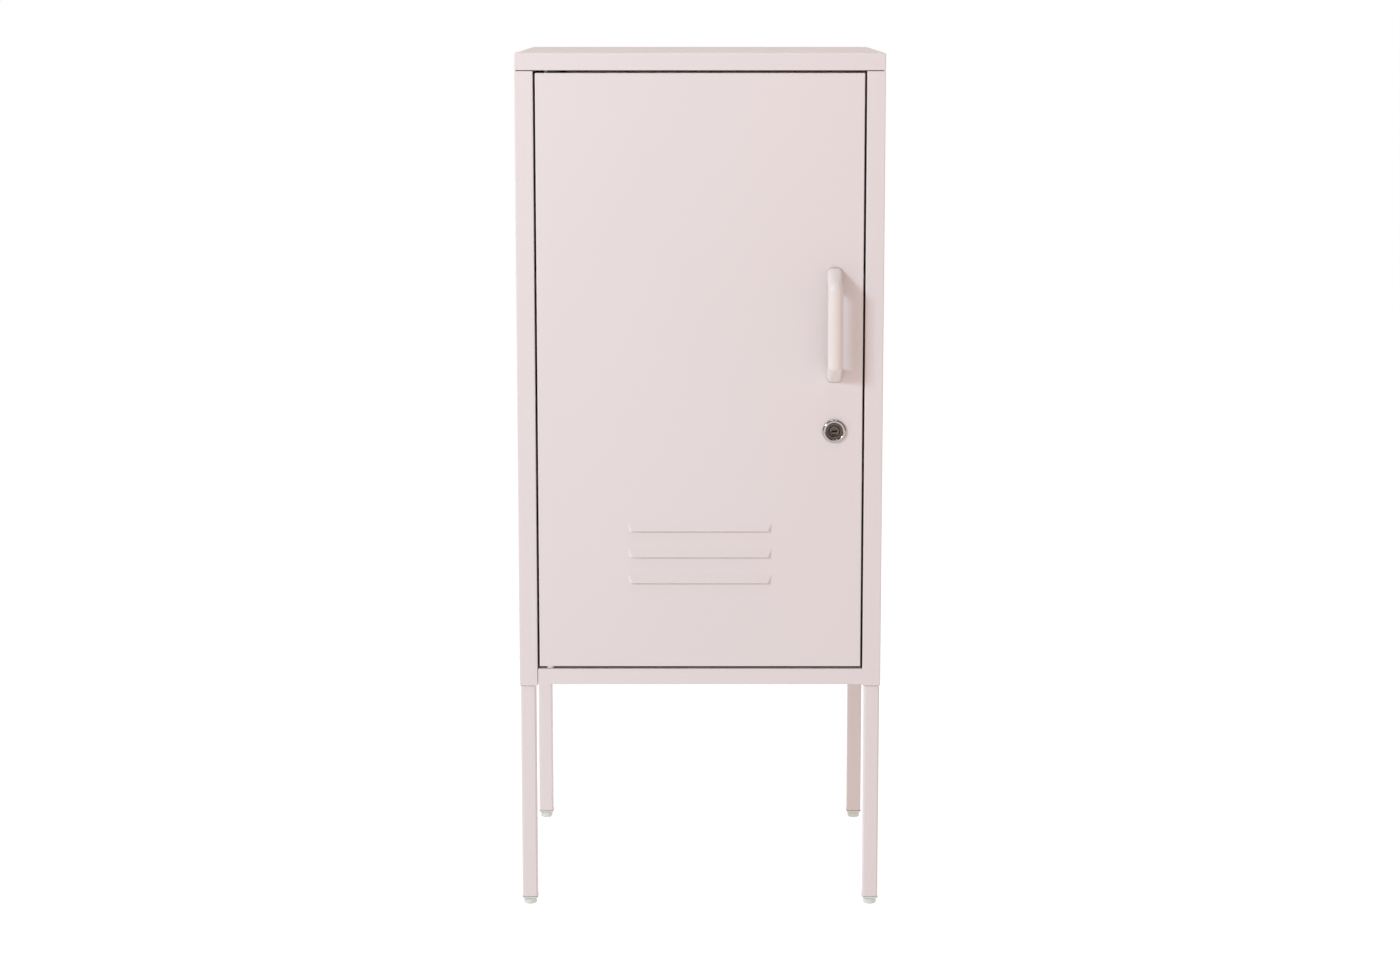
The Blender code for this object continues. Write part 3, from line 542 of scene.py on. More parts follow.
def side_panel(name, sign):
    """Side wall with its front post and rear flange, and the flange that the legs bolt to."""
    post_lip = 0.004
    profile = [
        (SIDE - post_lip, FRONT + POST_DEPTH),
        (POST_INNER, FRONT + POST_DEPTH),
        (POST_INNER, FRONT),
        (SIDE, FRONT),
        (SIDE, BACK),
        (SIDE - REAR_FLANGE, BACK),
    ]
    height = SIDE_HIGH.z - SIDE_LOW.z
    bm = strip([(sign * x, y, SIDE_LOW.z) for x, y in profile], (0.0, 0.0, height))
    panel = folded(f"{name}_skin", bm, (sign, 0.0, 0.0))
    stand_for(panel, "cabinet", "powder_coat", name)
    wall = SIDE - SHEET - 0.0001
    start = FRONT + 0.024
    end = BACK - 0.004
    flange_profile = [
        (sign * wall, start, SIDE_LOW.z + SHEET + WELD_FLANGE),
        (sign * wall, start, SIDE_LOW.z),
        (sign * SIDE_LOW.x, start, SIDE_LOW.z),
    ]
    bm = strip(flange_profile, (0.0, end - start, 0.0))
    holes = bolt_holes(name.split("_")[0])
    flange = folded(f"{name}_leg_flange", bm, (0, 0, -1), holes=holes)
    stand_for(flange, "cabinet", "powder_coat")


def bottom_panel():
    """Floor and its front fold, the rail: seamed beside the left post, flush with the right one."""
    inner = POST_INNER - 0.0005
    right = POST_INNER + FOLD
    outer = FLOOR_HIGH.x
    notch = FRONT + POST_DEPTH + 0.0015
    rear = FLOOR_HIGH.y
    tab = FRONT + 0.0012
    rail_lip = 0.014
    outline = [(right, FRONT), (right, tab), (inner, tab), (inner, notch)]
    outline += [(outer, notch), (outer, rear), (-outer, rear), (-outer, notch), (-inner, notch)]
    outline += [(-inner, FRONT)]
    bm = bmesh.new()
    bm.faces.new([bm.verts.new((x, y, 0.0)) for x, y in outline])
    extrude_edges(bm, open_edges(bm), (0.0, 0.0, FLOOR_LOW.z - FLOOR_HIGH.z))
    front = [edge for edge in open_edges(bm) if all(v.co.y < FRONT + 0.0001 for v in edge.verts)]
    for vert in extrude_edges(bm, front, (0.0, rail_lip, 0.0)):
        vert.co.x -= math.copysign(0.0015, vert.co.x)
    place = (0.0, 0.0, FLOOR_HIGH.z)
    holes = [upright_hole(HINGE_X, HINGE_Y, FLOOR_HIGH.z, PIN_HOLE)]
    panel = folded("bottom_panel_skin", bm, UP, place=place, holes=holes, solver="FAST")
    stand_for(panel, "cabinet", "powder_coat", "bottom_panel")


def top_cap():
    """Lid: a tray turned upside down, with a hole for the hinge bush in its lip."""
    size = LID_HIGH - LID_LOW
    bm = tray_mesh(size.x, size.y, size.z, LID_LIP)
    place = (0.0, centre_of("top_cap")[1], LID_HIGH.z)
    holes = [upright_hole(HINGE_X, HINGE_Y, LID_LOW.z, BUSH_HOLE)]
    cap = folded("top_cap_skin", bm, UP, place=place, radius=LID_FOLD, holes=holes)
    stand_for(cap, "cabinet", "powder_coat", "top_cap")


def shelves():
    """Two trays turned upside down."""
    for level in ("lower", "upper"):
        name = f"{level}_shelf"
        low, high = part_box(name)
        size = high - low
        bm = tray_mesh(size.x, size.y, size.z, SHELF_LIP)
        place = (*centre_of(name)[:2], high.z)
        shelf = folded(f"{name}_skin", bm, UP, place=place)
        stand_for(shelf, "cabinet", "powder_coat", name)


# Legs and feet


def rounded_square(half, radius, steps=5):
    """Outline about the origin, anticlockwise from the right."""
    corners = ((1, 1, 0), (-1, 1, 90), (-1, -1, 180), (1, -1, 270))
    points = []
    for side_x, side_y, start in corners:
        centre = (side_x * (half - radius), side_y * (half - radius))
        points += arc(centre, radius, start, start + 90, steps)
    return points


def leg(where):
    """Square tube with a plate across its top, which bolts to the side panel's flange."""
    low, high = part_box(f"leg_{where}")
    centre_x, centre_y, _ = centre_of(f"leg_insert_{where}")
    half = (high.x - low.x) / 2
    outline = rounded_square(half, 0.0022)
    rings = [
        [(centre_x + x, centre_y + y, z) for x, y in outline] for z in (low.z, high.z - 0.0006)
    ]
    tube = soften(loft(f"leg_tube_{where}", rings, PAINT), 0.0003, 2, 50.0)
    stand_for(tube, "cabinet", "powder_coat", f"leg_{where}")
    inset = half - 0.0004
    if centre_y < 0:
        y_low, y_high = centre_y - half + 0.0004, high.y
    else:
        y_low, y_high = low.y, centre_y + half - 0.0004
    corner_low = Vector((centre_x - inset, y_low, high.z - LEG_PLATE))
    corner_high = Vector((centre_x + inset, y_high, high.z))
    bm = bmesh.new()
    add_box(bm, (corner_low + corner_high) / 2, corner_high - corner_low)
    plate = add_piece(f"leg_plate_{where}", bm, PAINT)
    row, side = where.split("_")
    cut(plate, bolt_holes(side, (row,)))
    stand_for(soften(plate, 0.0003, 2, 50.0), "cabinet", "powder_coat")


def leg_insert(where):
    """Collar between a tube and its foot, with a chamfered lower edge."""
    name = f"leg_insert_{where}"
    low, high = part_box(name)
    centre_x, centre_y, _ = centre_of(name)
    half = (high.x - low.x) / 2
    chamfer = 0.0006
    outline = rounded_square(half, 0.0024)
    rings = []
    for z, grow in ((low.z, -chamfer), (low.z + chamfer, 0.0), (low.z + 0.0020, 0.0)):
        scale = (half + grow) / half
        rings.append([(centre_x + scale * x, centre_y + scale * y, z) for x, y in outline])
    collar = soften(loft(f"leg_collar_{where}", rings, FOOT), 0.0002, 2, 50.0)
    stand_for(collar, "cabinet", "foot_plastic", name)


def levelling_foot(where):
    """Round foot with a rounded sole, on a threaded stem."""
    name = f"levelling_foot_{where}"
    low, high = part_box(name)
    radius = (high.x - low.x) / 2
    crest = 0.0029
    root = 0.0025
    pad_top = 0.0077
    top_round = 0.0008
    sole_round = 0.0024
    profile = [(0.0, high.z), (0.0026, high.z), (crest, high.z - 0.0005)]
    thread_top = high.z - 0.001
    thread_low = 0.0082
    turns = 18
    for i in range(turns):
        level = thread_top + (thread_low - thread_top) * (i + 0.5) / turns
        profile += [(crest, level + 0.0003), (root, level)]
    profile += [(0.0027, pad_top), (radius - top_round, pad_top)]
    profile += arc((radius - top_round, pad_top - top_round), top_round, 90, 0, 4)[1:]
    profile += arc((radius - sole_round, sole_round), sole_round, 0, -90, 8)
    profile += [(0.0, 0.0)]
    foot = turned(f"foot_{where}", profile, (*centre_of(name)[:2], 0.0), FOOT)
    mark_sharp(foot, 50.0)
    stand_for(foot, f"foot_{where}", "foot_plastic", name)


# Door


def ease(value):
    """Smooth step from 0 to 1."""
    value = min(1.0, max(0.0, value))
    return value * value * (3 - 2 * value)


def louvre_push(x, z):
    """How far the door's skin is pressed out at a point, from 0 to 1."""
    for lip in LOUVRE_LIPS:
        above = z - lip
        if -TINY <= above <= LOUVRE_HEIGHT:
            foot = LOUVRE_HALF + LOUVRE_FLARE * above
            fall = max(0.0, 1 - above / LOUVRE_HEIGHT)
            return fall * fall * (1.5 - 0.5 * fall) * ease((foot - abs(x)) / LOUVRE_END)
    return 0.0


def grid_lines(low, high, zones):
    """Sorted coordinates from low to high, with each zone's own fine lines."""
    lines = {round(low, 7), round(high, 7)}
    for zone in zones:
        lines |= {round(value, 7) for value in zone}
    return sorted(lines)


def spaced(start, end, count):
    """Evenly spaced numbers, both ends among them."""
    return [start + (end - start) * i / count for i in range(count + 1)]


def door_skin():
    """Door pan whose louvres are pressed out of the skin, each with an open slot under its lip."""
    half_x = DOOR_HIGH.x
    middle = (DOOR_LOW.z + DOOR_HIGH.z) / 2
    half_z = (DOOR_HIGH.z - DOOR_LOW.z) / 2
    start = LOUVRE_HALF - LOUVRE_END
    tip = LOUVRE_HALF + LOUVRE_FLARE * LOUVRE_HEIGHT
    wall = spaced(start, LOUVRE_HALF, 7) + spaced(LOUVRE_HALF, tip, 11)
    columns = grid_lines(-half_x, half_x, [wall, [-x for x in wall], spaced(-start, start, 6)])
    rows = grid_lines(
        DOOR_LOW.z, DOOR_HIGH.z, [spaced(lip, lip + LOUVRE_HEIGHT, 14) for lip in LOUVRE_LIPS]
    )
    bm = bmesh.new()
    upper = {}
    lower = {}
    for z in rows:
        on_lip = any(abs(z - lip) < 0.2 * TINY for lip in LOUVRE_LIPS)
        for x in columns:
            vert = bm.verts.new((x, z - middle, LOUVRE_REACH * louvre_push(x, z)))
            upper[x, z] = vert
            opens = on_lip and abs(x) < LOUVRE_HALF - 0.2 * TINY
            lower[x, z] = bm.verts.new((x, z - middle, 0.0)) if opens else vert
    for z, z_next in zip(rows, rows[1:]):
        for x, x_next in zip(columns, columns[1:]):
            bm.faces.new((upper[x, z], upper[x_next, z], lower[x_next, z_next], lower[x, z_next]))

    def on_rim(edge):
        """Whether both ends of an edge are on the outline of the door's face."""
        return all(
            abs(vert.co.x) > half_x - TINY or abs(vert.co.y) > half_z - TINY for vert in edge.verts
        )

    rim = [edge for edge in open_edges(bm) if on_rim(edge)]
    sides = set(extrude_edges(bm, rim, (0.0, 0.0, -DOOR_DEPTH)))
    hems = [edge for edge in open_edges(bm) if all(vert in sides for vert in edge.verts)]
    for vert in extrude_edges(bm, hems, (0.0, 0.0, 0.0)):
        if abs(vert.co.x) > half_x - DOOR_LIP:
            vert.co.x = math.copysign(half_x - DOOR_LIP, vert.co.x)
        if abs(vert.co.y) > half_z - DOOR_LIP:
            vert.co.y = math.copysign(half_z - DOOR_LIP, vert.co.y)
    face_out(bm, UP)
    round_folds(bm, DOOR_FOLD, segments=5, angle=60.0, chosen=on_rim)
    place = (0.0, FRONT, middle)
    screws_z = [sum(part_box(f"handle_screw_{number}"), Vector()).z / 2 for number in (1, 2)]
    holes = [door_hole(LOCK_X, LOCK_Z, LOCK_HOLE)]
    holes += [door_hole(HANDLE_X, z, SCREW_HOLE) for z in screws_z]
    holes += [upright_hole(HINGE_X, HINGE_Y, z, PIN_HOLE) for z in (DOOR_LOW.z, DOOR_HIGH.z)]
    door = folded("door_skin", bm, UP, place=place, lean=math.pi / 2, radius=0.0, holes=holes)
    stand_for(door, "door", "powder_coat", "door_panel")


def handle():
    """Bridge pull: a D-shaped section carried along the grip and its two slanted ends."""
    middle = (HANDLE_LOW.z + HANDLE_HIGH.z) / 2
    half = (HANDLE_HIGH.z - HANDLE_LOW.z) / 2
    reach = FRONT - HANDLE_LOW.y
    base = FRONT - HANDLE_HIGH.y
    slant = 0.0185
    foot = 0.017
    inner_slant = 0.009
    thickness = 0.010
    half_width = 0.0090
    taper = 0.0002  # how much narrower each side is at the grip than at the feet
    inner = half - foot
    grip = inner - inner_slant
    gap = reach - thickness
    outer_line = [(base, -half), (reach, slant - half), (reach, half - slant), (base, half)]
    inner_line = [(base, -inner), (gap, -grip), (gap, grip), (base, inner)]
    paths = []
    for line, radii in ((outer_line, (0.0050, 0.0100)), (inner_line, (0.0045, 0.0045))):
        path = first_third(line[0], line[1], 3)
        for i, radius in zip((1, 2), radii):
            path += fillet(line[i - 1], line[i], line[i + 1], radius, 8)
        path += first_third(line[3], line[2], 3)[::-1]
        paths.append(path)
    rings = []
    for outside, inside in zip(*paths):
        outside = Vector(outside)
        inside = Vector(inside)
        out = min(1.0, outside.x / reach)
        ring = []
        for across, depth in d_section(3.6 - 1.5 * ease(out)):
            spot = inside.lerp(outside, depth)
            x = HANDLE_X + (half_width - taper * out) * across
            ring.append((x, FRONT - spot.x, middle + spot.y))
        rings.append(ring)
    pull = loft("handle_pull", rings, MOULDED)
    stand_for(pull, "door", "moulded_plastic", "door_handle")


def first_third(start, end, count):
    """A few points from start towards end, up to about a third of the way."""
    start = Vector(start)
    end = Vector(end)
    return [start.lerp(end, i / (3.2 * count)) for i in range(count + 1)]


def d_section(roundness, steps=56, split=0.34):
    """Points of a D: x from -1 to 1, depth from 0 at the inner side to 1 at the outer side."""
    inner_squareness = 5.0
    points = []
    for i in range(steps):
        turn = 2 * math.pi * i / steps
        power = 2.0 / (roundness if math.sin(turn) > 0 else inner_squareness)
        across = math.copysign(abs(math.cos(turn)) ** power, math.cos(turn))
        depth = math.copysign(abs(math.sin(turn)) ** power, math.sin(turn))
        points.append((across, split + depth * ((1 - split) if depth > 0 else split)))
    return points


# Lock: local +Z points out of the door, and local z = 0 is the door's face


def lock():
    """Chromed bezel round a dark grooved ring, and the plug that turns inside it."""
    place = (LOCK_X, FRONT, LOCK_Z)
    lean = math.pi / 2
    rim = (LOCK_HIGH.x - LOCK_LOW.x) / 2
    top = FRONT - LOCK_LOW.y
    bore = 0.0068
    thread = 0.0088
    rear = -0.0195
    outer_round = 0.0024
    inner_round = 0.0018
    crown = rim - outer_round
    bezel_profile = arc((crown, top - outer_round), outer_round, -8, 90, 12)
    bezel_profile += arc((crown, top - inner_round), inner_round, 90, 165, 10)[1:]
    bezel_profile += [(0.0098, 0.0012), (bore, 0.0012), (bore, rear)]
    bezel_profile += [(thread, rear), (thread, 0.0003)]
    bezel = turned("lock_bezel", bezel_profile, place, CHROME, lean, True, LARGE_STEPS)
    mark_sharp(bezel, 40.0)
    stand_for(bezel, "door", "chrome", "lock_housing")
    face_profile = [(0.0097, 0.0013), (0.0097, 0.0019), (0.0093, 0.0022), (0.0086, 0.0022)]
    face_profile += [(0.0084, 0.0018), (0.0078, 0.0018), (0.0076, 0.0023), (0.0070, 0.0023)]
    face_profile += [(0.0066, 0.0019), (0.0066, 0.0013)]
    face = turned("lock_face_ring", face_profile, place, LOCK_FACE, lean, True, LARGE_STEPS)
    mark_sharp(face, 30.0)
    stand_for(face, "door", "chrome")
    plug_profile = [(0.0, 0.0014), (0.0030, 0.0014), (0.0034, 0.0012), (0.0054, 0.0021)]
    plug_profile += [(0.0058, 0.0022), (0.0062, 0.0018), (0.0062, -0.0215), (0.0, -0.0215)]
    plug = turned("lock_plug", plug_profile, place, LOCK_FACE, lean, False, LARGE_STEPS)
    cut(plug, [key_slot()])
    mark_sharp(plug, 30.0)
    stand_for(plug, "lock", "chrome", "lock_cylinder")


def key_slot():
    """Cutter for the key slot: narrow, with a wide chamfer along both long edges."""
    half_length = 0.0030
    section = [(0.0019, -0.0030), (0.0007, -0.0004), (0.0007, 0.0060)]
    outline = section + [(-height, depth) for height, depth in reversed(section)]
    rings = [
        [(x, FRONT + depth, LOCK_Z + height) for height, depth in outline]
        for x in (LOCK_X - half_length, LOCK_X + half_length)
    ]
    return loft("key_slot", rings, LOCK_FACE)


# Inside the cabinet and behind the door


def shelf_upright(where):
    """Slotted channel on the side wall, its slots in step with the shelf clips."""
    end_margins = (0.005, 0.008)  # below the lowest slot and above the highest one
    name = f"shelf_upright_{where}"
    low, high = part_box(name)
    sign = math.copysign(1.0, low.x)
    wall, face = sorted((abs(low.x), abs(high.x)), reverse=True)
    profile = [(wall, low.y), (face, low.y), (face, high.y), (wall, high.y)]
    bm = strip([(sign * x, y, low.z) for x, y in profile], (0.0, 0.0, high.z - low.z))
    levels = {level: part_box(f"{level}_shelf_clip_{where}")[1].z for level in ("lower", "upper")}
    pitch = (levels["upper"] - levels["lower"]) / SLOTS_BETWEEN
    middle = (low.y + high.y) / 2
    slots = bmesh.new()
    level = levels["lower"] - CLIP_THICKNESS / 2
    while level - pitch > low.z + end_margins[0]:
        level -= pitch
    size = (0.006, 2 * SLOT_HALF_WIDTH, 2 * SLOT_HALF_HEIGHT)
    while level < high.z - end_margins[1]:
        add_box(slots, (sign * (face + SHEET / 2), middle, level), size)
        level += pitch
    holes = [add_piece(f"{name}_slots", slots, PAINT)]
    channel = folded(f"{name}_channel", bm, (-sign, 0.0, 0.0), radius=UPRIGHT_FOLD, holes=holes)
    stand_for(channel, "cabinet", "powder_coat", name)


def shelf_clip(name):
    """Bent strip: its hook goes through a slot, and its ledge carries the shelf."""
    low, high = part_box(name)
    sign = math.copysign(1.0, low.x)
    hook, nose = sorted((abs(low.x), abs(high.x)), reverse=True)
    nose_drop = 0.004
    corners = [(hook, low.z), (hook, high.z), (nose, high.z), (nose, high.z - nose_drop)]
    bm = strip([(sign * x, low.y, z) for x, z in corners], (0.0, high.y - low.y, 0.0))
    clip = folded(f"{name}_strip", bm, (0, 0, 1), ZINC, radius=CLIP_FOLD, thickness=CLIP_THICKNESS)
    stand_for(clip, "cabinet", "zinc_steel", name)


def stop_rail():
    """Angle behind the door's top edge."""
    low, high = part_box("top_stop_rail")
    profile = [(low.x, low.y, low.z), (low.x, low.y, high.z), (low.x, high.y, high.z)]
    rail = folded("stop_rail_angle", strip(profile, (high.x - low.x, 0.0, 0.0)), (0, 0, 1))
    stand_for(rail, "cabinet", "powder_coat", "top_stop_rail")


def door_stiffener():
    """Hat channel behind the door's skin."""
    low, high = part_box("door_stiffener")
    half = [(0.034, low.y), (0.018, low.y), (0.014, high.y - SHEET)]
    section = half + [(-x, y) for x, y in reversed(half)]
    bm = strip([(x, y, low.z) for x, y in section], (0.0, 0.0, high.z - low.z))
    hat = folded("door_stiffener_hat", bm, (0, -1, 0), radius=STIFFENER_FOLD)
    stand_for(hat, "door", "powder_coat", "door_stiffener")


def hinge_hardware():
    """Pins with rounded tips and flat heads, the lid's bush and the washer under the door."""
    for name, edge, lean in (
        ("top_hinge_pin", DOOR_HIGH.z, 0.0),
        ("bottom_hinge_pin", DOOR_LOW.z, math.pi),
    ):
        low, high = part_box(name)
        reach = max(high.z - edge, edge - low.z)
        head = (high.x - low.x) / 2
        shank = 0.0025
        tip_round = 0.001
        seat = -0.0013
        end = seat - 0.0020
        profile = [(0.0, reach)] + arc((shank - tip_round, reach - tip_round), tip_round, 90, 0)
        profile += [(shank, seat), (head - 0.0003, seat), (head, seat - 0.0003)]
        profile += [(head, end + 0.0004), (head - 0.0004, end), (0.0, end)]
        # the pins take the darkened zinc, which is painted shade of the hinge gaps
        pin = turned(f"{name}_turned", profile, (HINGE_X, HINGE_Y, edge), SHADED_PIN_ZINC, lean)
        mark_sharp(pin, 40.0)
        stand_for(pin, "door", "zinc_steel", name)
    for name in ("top_hinge_bush", "bottom_hinge_washer"):
        low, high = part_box(name)
        rim = (high.x - low.x) / 2
        bore = 0.0026
        if name == "top_hinge_bush":
            neck = rim - 0.0015
            collar = high.z - 0.0015
            outline = [(rim, high.z), (rim, collar), (neck, collar), (neck, low.z)]
        else:
            outline = [(rim, high.z), (rim, low.z)]
        outline += [(bore, low.z), (bore, high.z)]
        ring = turned(f"{name}_ring", outline, (HINGE_X, HINGE_Y, 0.0), NYLON, closed=True)
        mark_sharp(soften(ring, 0.0002), 40.0)
        stand_for(ring, "cabinet", "nylon", name)


def grommet():
    """Soft ring in the back panel's cable outlet: local +Z points out of the back."""
    low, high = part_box("cable_grommet")
    middle_x, _, middle_z = centre_of("cable_grommet")
    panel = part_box("back_panel")[1].y
    rim = (high.x - low.x) / 2
    face = high.y - panel
    inside = low.y - panel
    bore = rim - 0.007
    profile = [(bore + 0.0004, face)] + arc((rim - 0.0010, face - 0.0008), 0.0008, 90, 0)
    profile += [(rim - 0.0002, 0.0003), (rim - 0.0043, 0.0003), (rim - 0.0043, -0.0016)]
    profile += [(rim - 0.0010, -0.0016), (rim - 0.0010, -0.0028), (bore + 0.0008, inside)]
    profile += [(bore, inside + 0.0006), (bore, face - 0.0004)]
    place = (middle_x, panel, middle_z)
    ring = turned("grommet_ring", profile, place, RUBBER, -math.pi / 2, True, LARGE_STEPS)
    mark_sharp(ring, 50.0)
    stand_for(ring, "cabinet", "rubber", "cable_grommet")


def bumpers():
    """Rubber discs on the stop rail, with rounded fronts."""
    edge_round = 0.0016
    for side in ("left", "right"):
        name = f"door_bumper_{side}"
        low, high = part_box(name)
        middle_x, _, middle_z = centre_of(name)
        radius = (high.x - low.x) / 2
        height = high.y - low.y
        profile = [(0.0, height)]
        profile += arc((radius - edge_round, height - edge_round), edge_round, 90, 0)
        profile += [(radius, 0.0), (0.0, 0.0)]
        bumper = turned(f"{name}_dome", profile, (middle_x, high.y, middle_z), RUBBER, math.pi / 2)
        mark_sharp(bumper, 50.0)
        stand_for(bumper, "cabinet", "rubber", name)


# Screws: local +Z points from the head to the tip


def cross_outline(length, half_width):
    """Corners of a plus sign."""
    points = [(length, -half_width), (length, half_width), (half_width, half_width)]
    outline = []
    for _ in range(4):
        outline += points
        points = [(-y, x) for x, y in points]
    return outline


def hexagon(radius):
    """Corners of the socket in a bolt's head."""
    turns = [math.pi * i / 3 for i in range(6)]
    return [(radius * math.cos(turn), radius * math.sin(turn)) for turn in turns]


def screw(node, body, place, lean, ends, shank, outline, taper):
    """Threaded screw with a domed head: ends are the local heights of tip, seat and head."""
    pitch = 0.0008
    thread_depth = 0.0004
    tip, seat, face = ends
    low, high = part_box(node)
    rim = (high.x - low.x) / 2
    height = seat - face
    profile = [(0.0, tip), (shank - 0.0006, tip)]
    turns = max(2, round((tip - seat) / pitch))
    for i in range(turns):
        level = tip - pitch / 2 + (seat - tip + pitch) * (i + 0.5) / turns
        profile += [(shank, level + 0.00015), (shank - thread_depth, level - 0.0002)]
    profile += [(shank, seat), (rim, seat)]
    for i in range(8):
        turn = math.pi * i / 14
        radius = rim * (0.55 + 0.45 * math.cos(turn))
        profile.append((radius, seat - height * (0.25 + 0.75 * math.sin(turn))))
    profile.append((0.0, face))
    piece = turned(f"{node}_turned", profile, place, ZINC, lean, steps=40)
    rings = [
        [(scale * x, scale * y, level) for x, y in outline]
        for level, scale in ((face - 0.001, 1.0), (face, 1.0), (face + 0.75 * height, taper))
    ]
    recess = loft(f"{node}_recess", rings, ZINC)
    recess.location = place
    recess.rotation_euler = (lean, 0.0, 0.0)
    cut(piece, [recess])
    mark_sharp(piece, 35.0)
    stand_for(piece, body, "zinc_steel", node)


def screws():
    """Socket-head leg bolts, and the cross-head screws of the handle and the cam."""
    cross = cross_outline(0.0021, 0.00045)
    bolt_head = 0.0028
    screw_head = 0.0022
    for name in sorted(frame["nodes"]):
        low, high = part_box(name)
        middle = (low + high) / 2
        head = FRONT - high.y
        ends = (FRONT - low.y, head + screw_head, head)
        if name.startswith("leg_bolt"):
            place = (middle.x, middle.y, 0.0)
            ends = (high.z, low.z + bolt_head, low.z)
            screw(name, "cabinet", place, 0.0, ends, 0.003, hexagon(0.0021), 0.95)
        elif name.startswith("handle_screw"):
            place = (middle.x, FRONT, middle.z)
            screw(name, "door", place, math.pi / 2, ends, 0.002, cross, 0.35)
        elif name == "cam_screw":
            place = (LOCK_X, FRONT, LOCK_Z)
            screw(name, "lock", place, math.pi / 2, ends, 0.0015, cross, 0.35)


def dress_cad_nodes():
    """Give every CAD node that still shows its material, clean flats and broken edges."""
    slots = {row["node"]: row["material_slot"] for row in frame["record"]["subparts"]}
    for name, node in frame["nodes"].items():
        if node.hide_render:
            continue
        node.data.materials.clear()
        node.data.materials.append(SLOT_MATERIALS[slots[name]])
        node.modifiers.new("join", "WELD").merge_threshold = 0.00001
        flats = node.modifiers.new("flats", "DECIMATE")
        flats.decimate_type = "DISSOLVE"
        flats.angle_limit = math.radians(2.0)
        soften(node, 0.0003)


# Studio: warm walls and a dim ceiling, which the camera sees as plain white

WHITE = (1.0, 1.0, 1.0)
WALL_GLOW = (1.23, 0.95, 0.79)
CEILING_GLOW = (0.10, 0.085, 0.075)
FLAG_SHADE = (0.12, 0.11, 0.11)  # how much of the far left and far right reflections see
LEFT_SHARE = 0.2  # how much stronger the far left glows, and weaker the far right


def add_math(tree, operation, source, output, *numbers):
    """Math node whose first input is linked and whose others are fixed."""
    node = tree.nodes.new("ShaderNodeMath")
    node.operation = operation
    link(tree, source, output, node, 0)
    for socket, number in enumerate(numbers, 1):
        node.inputs[socket].default_value = number
    return node


def surroundings():
    """World that lights and reflects as a room, and is plain white behind the object."""
    world = bpy.data.worlds.new("studio")
    world.use_nodes = True
    bpy.context.scene.world = world
    tree = world.node_tree
    background = tree.nodes["Background"]
    directions = tree.nodes.new("ShaderNodeTexCoord")
    split = tree.nodes.new("ShaderNodeSeparateXYZ")
    link(tree, directions, "Generated", split, "Vector")
    fade = add_ramp(tree, (0.28, WALL_GLOW), (0.60, CEILING_GLOW))
    link(tree, split, "Z", fade, "Fac")
    flags = add_ramp(tree, (0.62, WHITE), (0.80, FLAG_SHADE))
    link(tree, add_math(tree, "ABSOLUTE", split, "X"), "Value", flags, "Fac")
    rays = tree.nodes.new("ShaderNodeLightPath")
    shade = tree.nodes.new("ShaderNodeMixRGB")
    shade.blend_type = "MULTIPLY"
    link(tree, rays, "Is Glossy Ray", shade, "Fac")
    link(tree, fade, "Color", shade, "Color1")
    link(tree, flags, "Color", shade, "Color2")
    link(tree, shade, "Color", background, "Color")
    strength = add_math(tree, "MULTIPLY_ADD", split, "X", -LEFT_SHARE, 1.0)
    link(tree, strength, "Value", background, "Strength")
    seen = tree.nodes.new("ShaderNodeBackground")
    seen.inputs["Color"].default_value = (*WHITE, 1.0)
    choose = tree.nodes.new("ShaderNodeMixShader")
    link(tree, rays, "Is Camera Ray", choose, "Fac")
    link(tree, background, "Background", choose, 1)
    link(tree, seen, "Background", choose, 2)
    link(tree, choose, "Shader", tree.nodes["World Output"], "Surface")


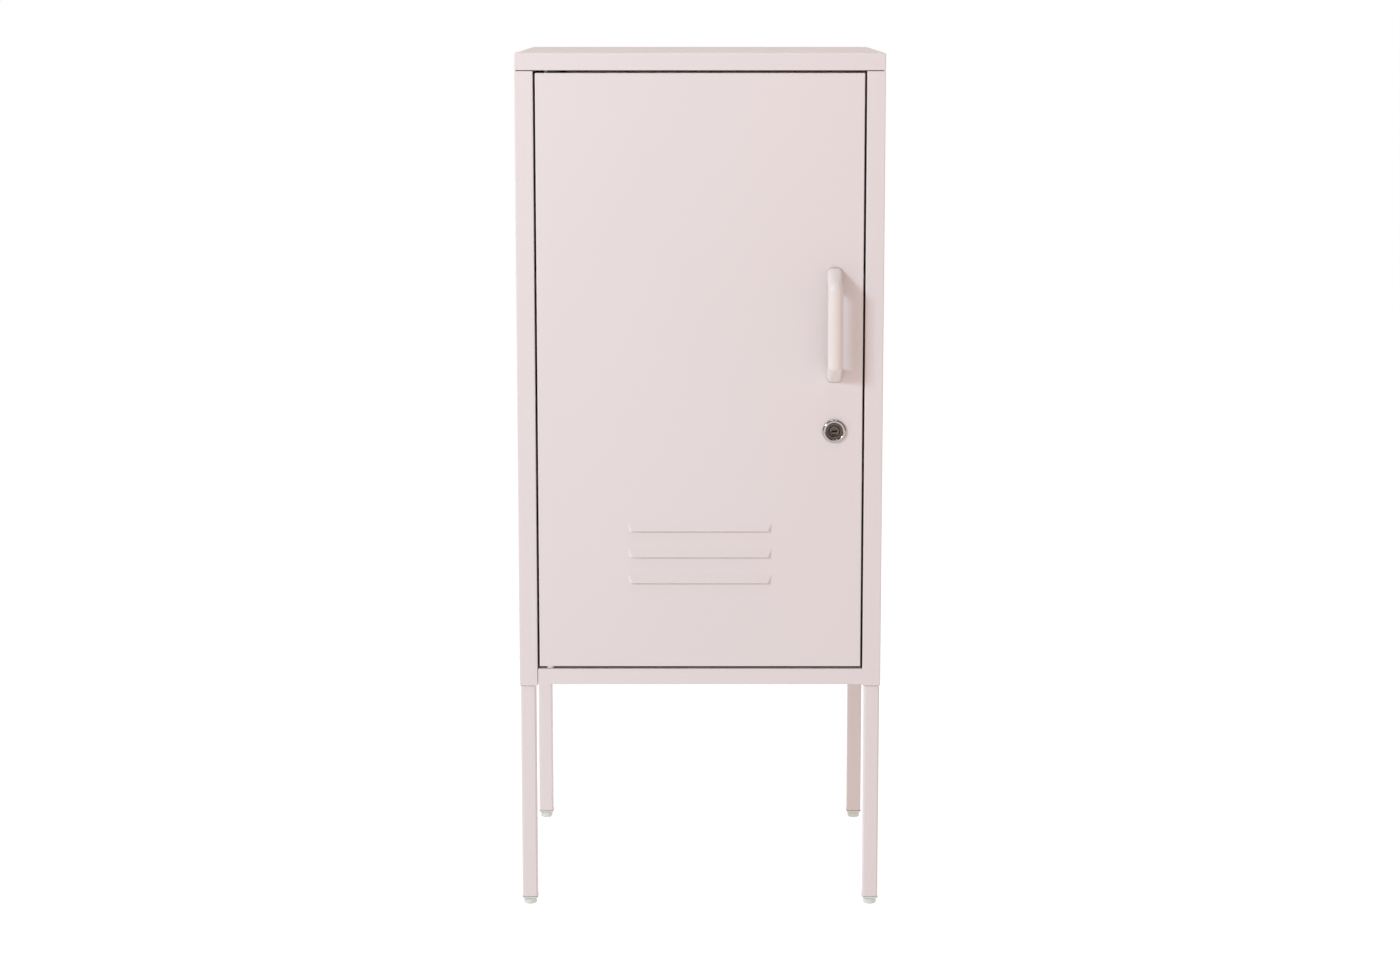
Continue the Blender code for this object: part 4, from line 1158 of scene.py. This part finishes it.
def studio():
    """Room, floor and lamps."""
    scene = bpy.context.scene
    scene.view_settings.view_transform = "Standard"
    surroundings()
    bm = bmesh.new()
    bmesh.ops.create_grid(bm, x_segments=1, y_segments=1, size=6.0)
    floor = add_piece("studio_floor", bm, floor_material(), (0.0, 0.0, -0.0002))
    # name, degrees to the left of the view, degrees up, distance, size, watts, colour
    lights = (
        ("key", 47.5, 24.0, 3.4, 0.62, 68.6, (0.625, 0.85, 1.0)),
        ("top", 0.0, 84.0, 2.8, 2.2, 40.5, (0.86, 0.95, 0.98)),
        ("rear_fill", -125.0, 18.0, 3.2, 2.0, 30.0, (0.72, 0.88, 1.0)),
    )
    target = Vector((0.0, 0.0, 0.6))
    for name, from_left, up, distance, size, watts, colour in lights:
        from_left = math.radians(from_left)
        up = math.radians(up)
        level = math.cos(up)
        toward = Vector((-math.sin(from_left) * level, -math.cos(from_left) * level, math.sin(up)))
        lamp = bpy.data.lights.new(name, "AREA")
        lamp.shape = "DISK"
        lamp.size = size
        lamp.energy = watts
        lamp.color = colour
        holder = bpy.data.objects.new(name, lamp)
        holder.location = target + toward * distance
        holder.rotation_euler = toward.to_track_quat("Z", "Y").to_euler()
        holder.visible_camera = False
        scene.collection.objects.link(holder)


# Camera: straight in front, looking a little down

CAMERA_LENS = 74.0
CAMERA_SENSOR = 36.0
CAMERA_DISTANCE = 3.349  # from the door's face
CAMERA_HEIGHT = 1.087
CAMERA_TILT = 8.63  # degrees below level
CAMERA_SHIFT = -0.035


def camera():
    data = bpy.data.cameras.new("camera")
    data.lens = CAMERA_LENS
    data.sensor_width = CAMERA_SENSOR
    data.shift_y = CAMERA_SHIFT
    view = bpy.data.objects.new("camera", data)
    view.location = (0.0, FRONT - CAMERA_DISTANCE, CAMERA_HEIGHT)
    view.rotation_euler = (math.radians(90.0 - CAMERA_TILT), 0.0, 0.0)
    bpy.context.scene.collection.objects.link(view)
    bpy.context.scene.camera = view


def main():
    side_panel("left_side_panel", -1)
    side_panel("right_side_panel", 1)
    bottom_panel()
    top_cap()
    shelves()
    for row in ("front", "rear"):
        for side in ("left", "right"):
            where = f"{row}_{side}"
            leg(where)
            leg_insert(where)
            levelling_foot(where)
            shelf_upright(where)
            for level in ("lower", "upper"):
                shelf_clip(f"{level}_shelf_clip_{where}")
    stop_rail()
    grommet()
    bumpers()
    door_skin()
    door_stiffener()
    hinge_hardware()
    handle()
    lock()
    screws()
    dress_cad_nodes()
    studio()
    camera()


main()
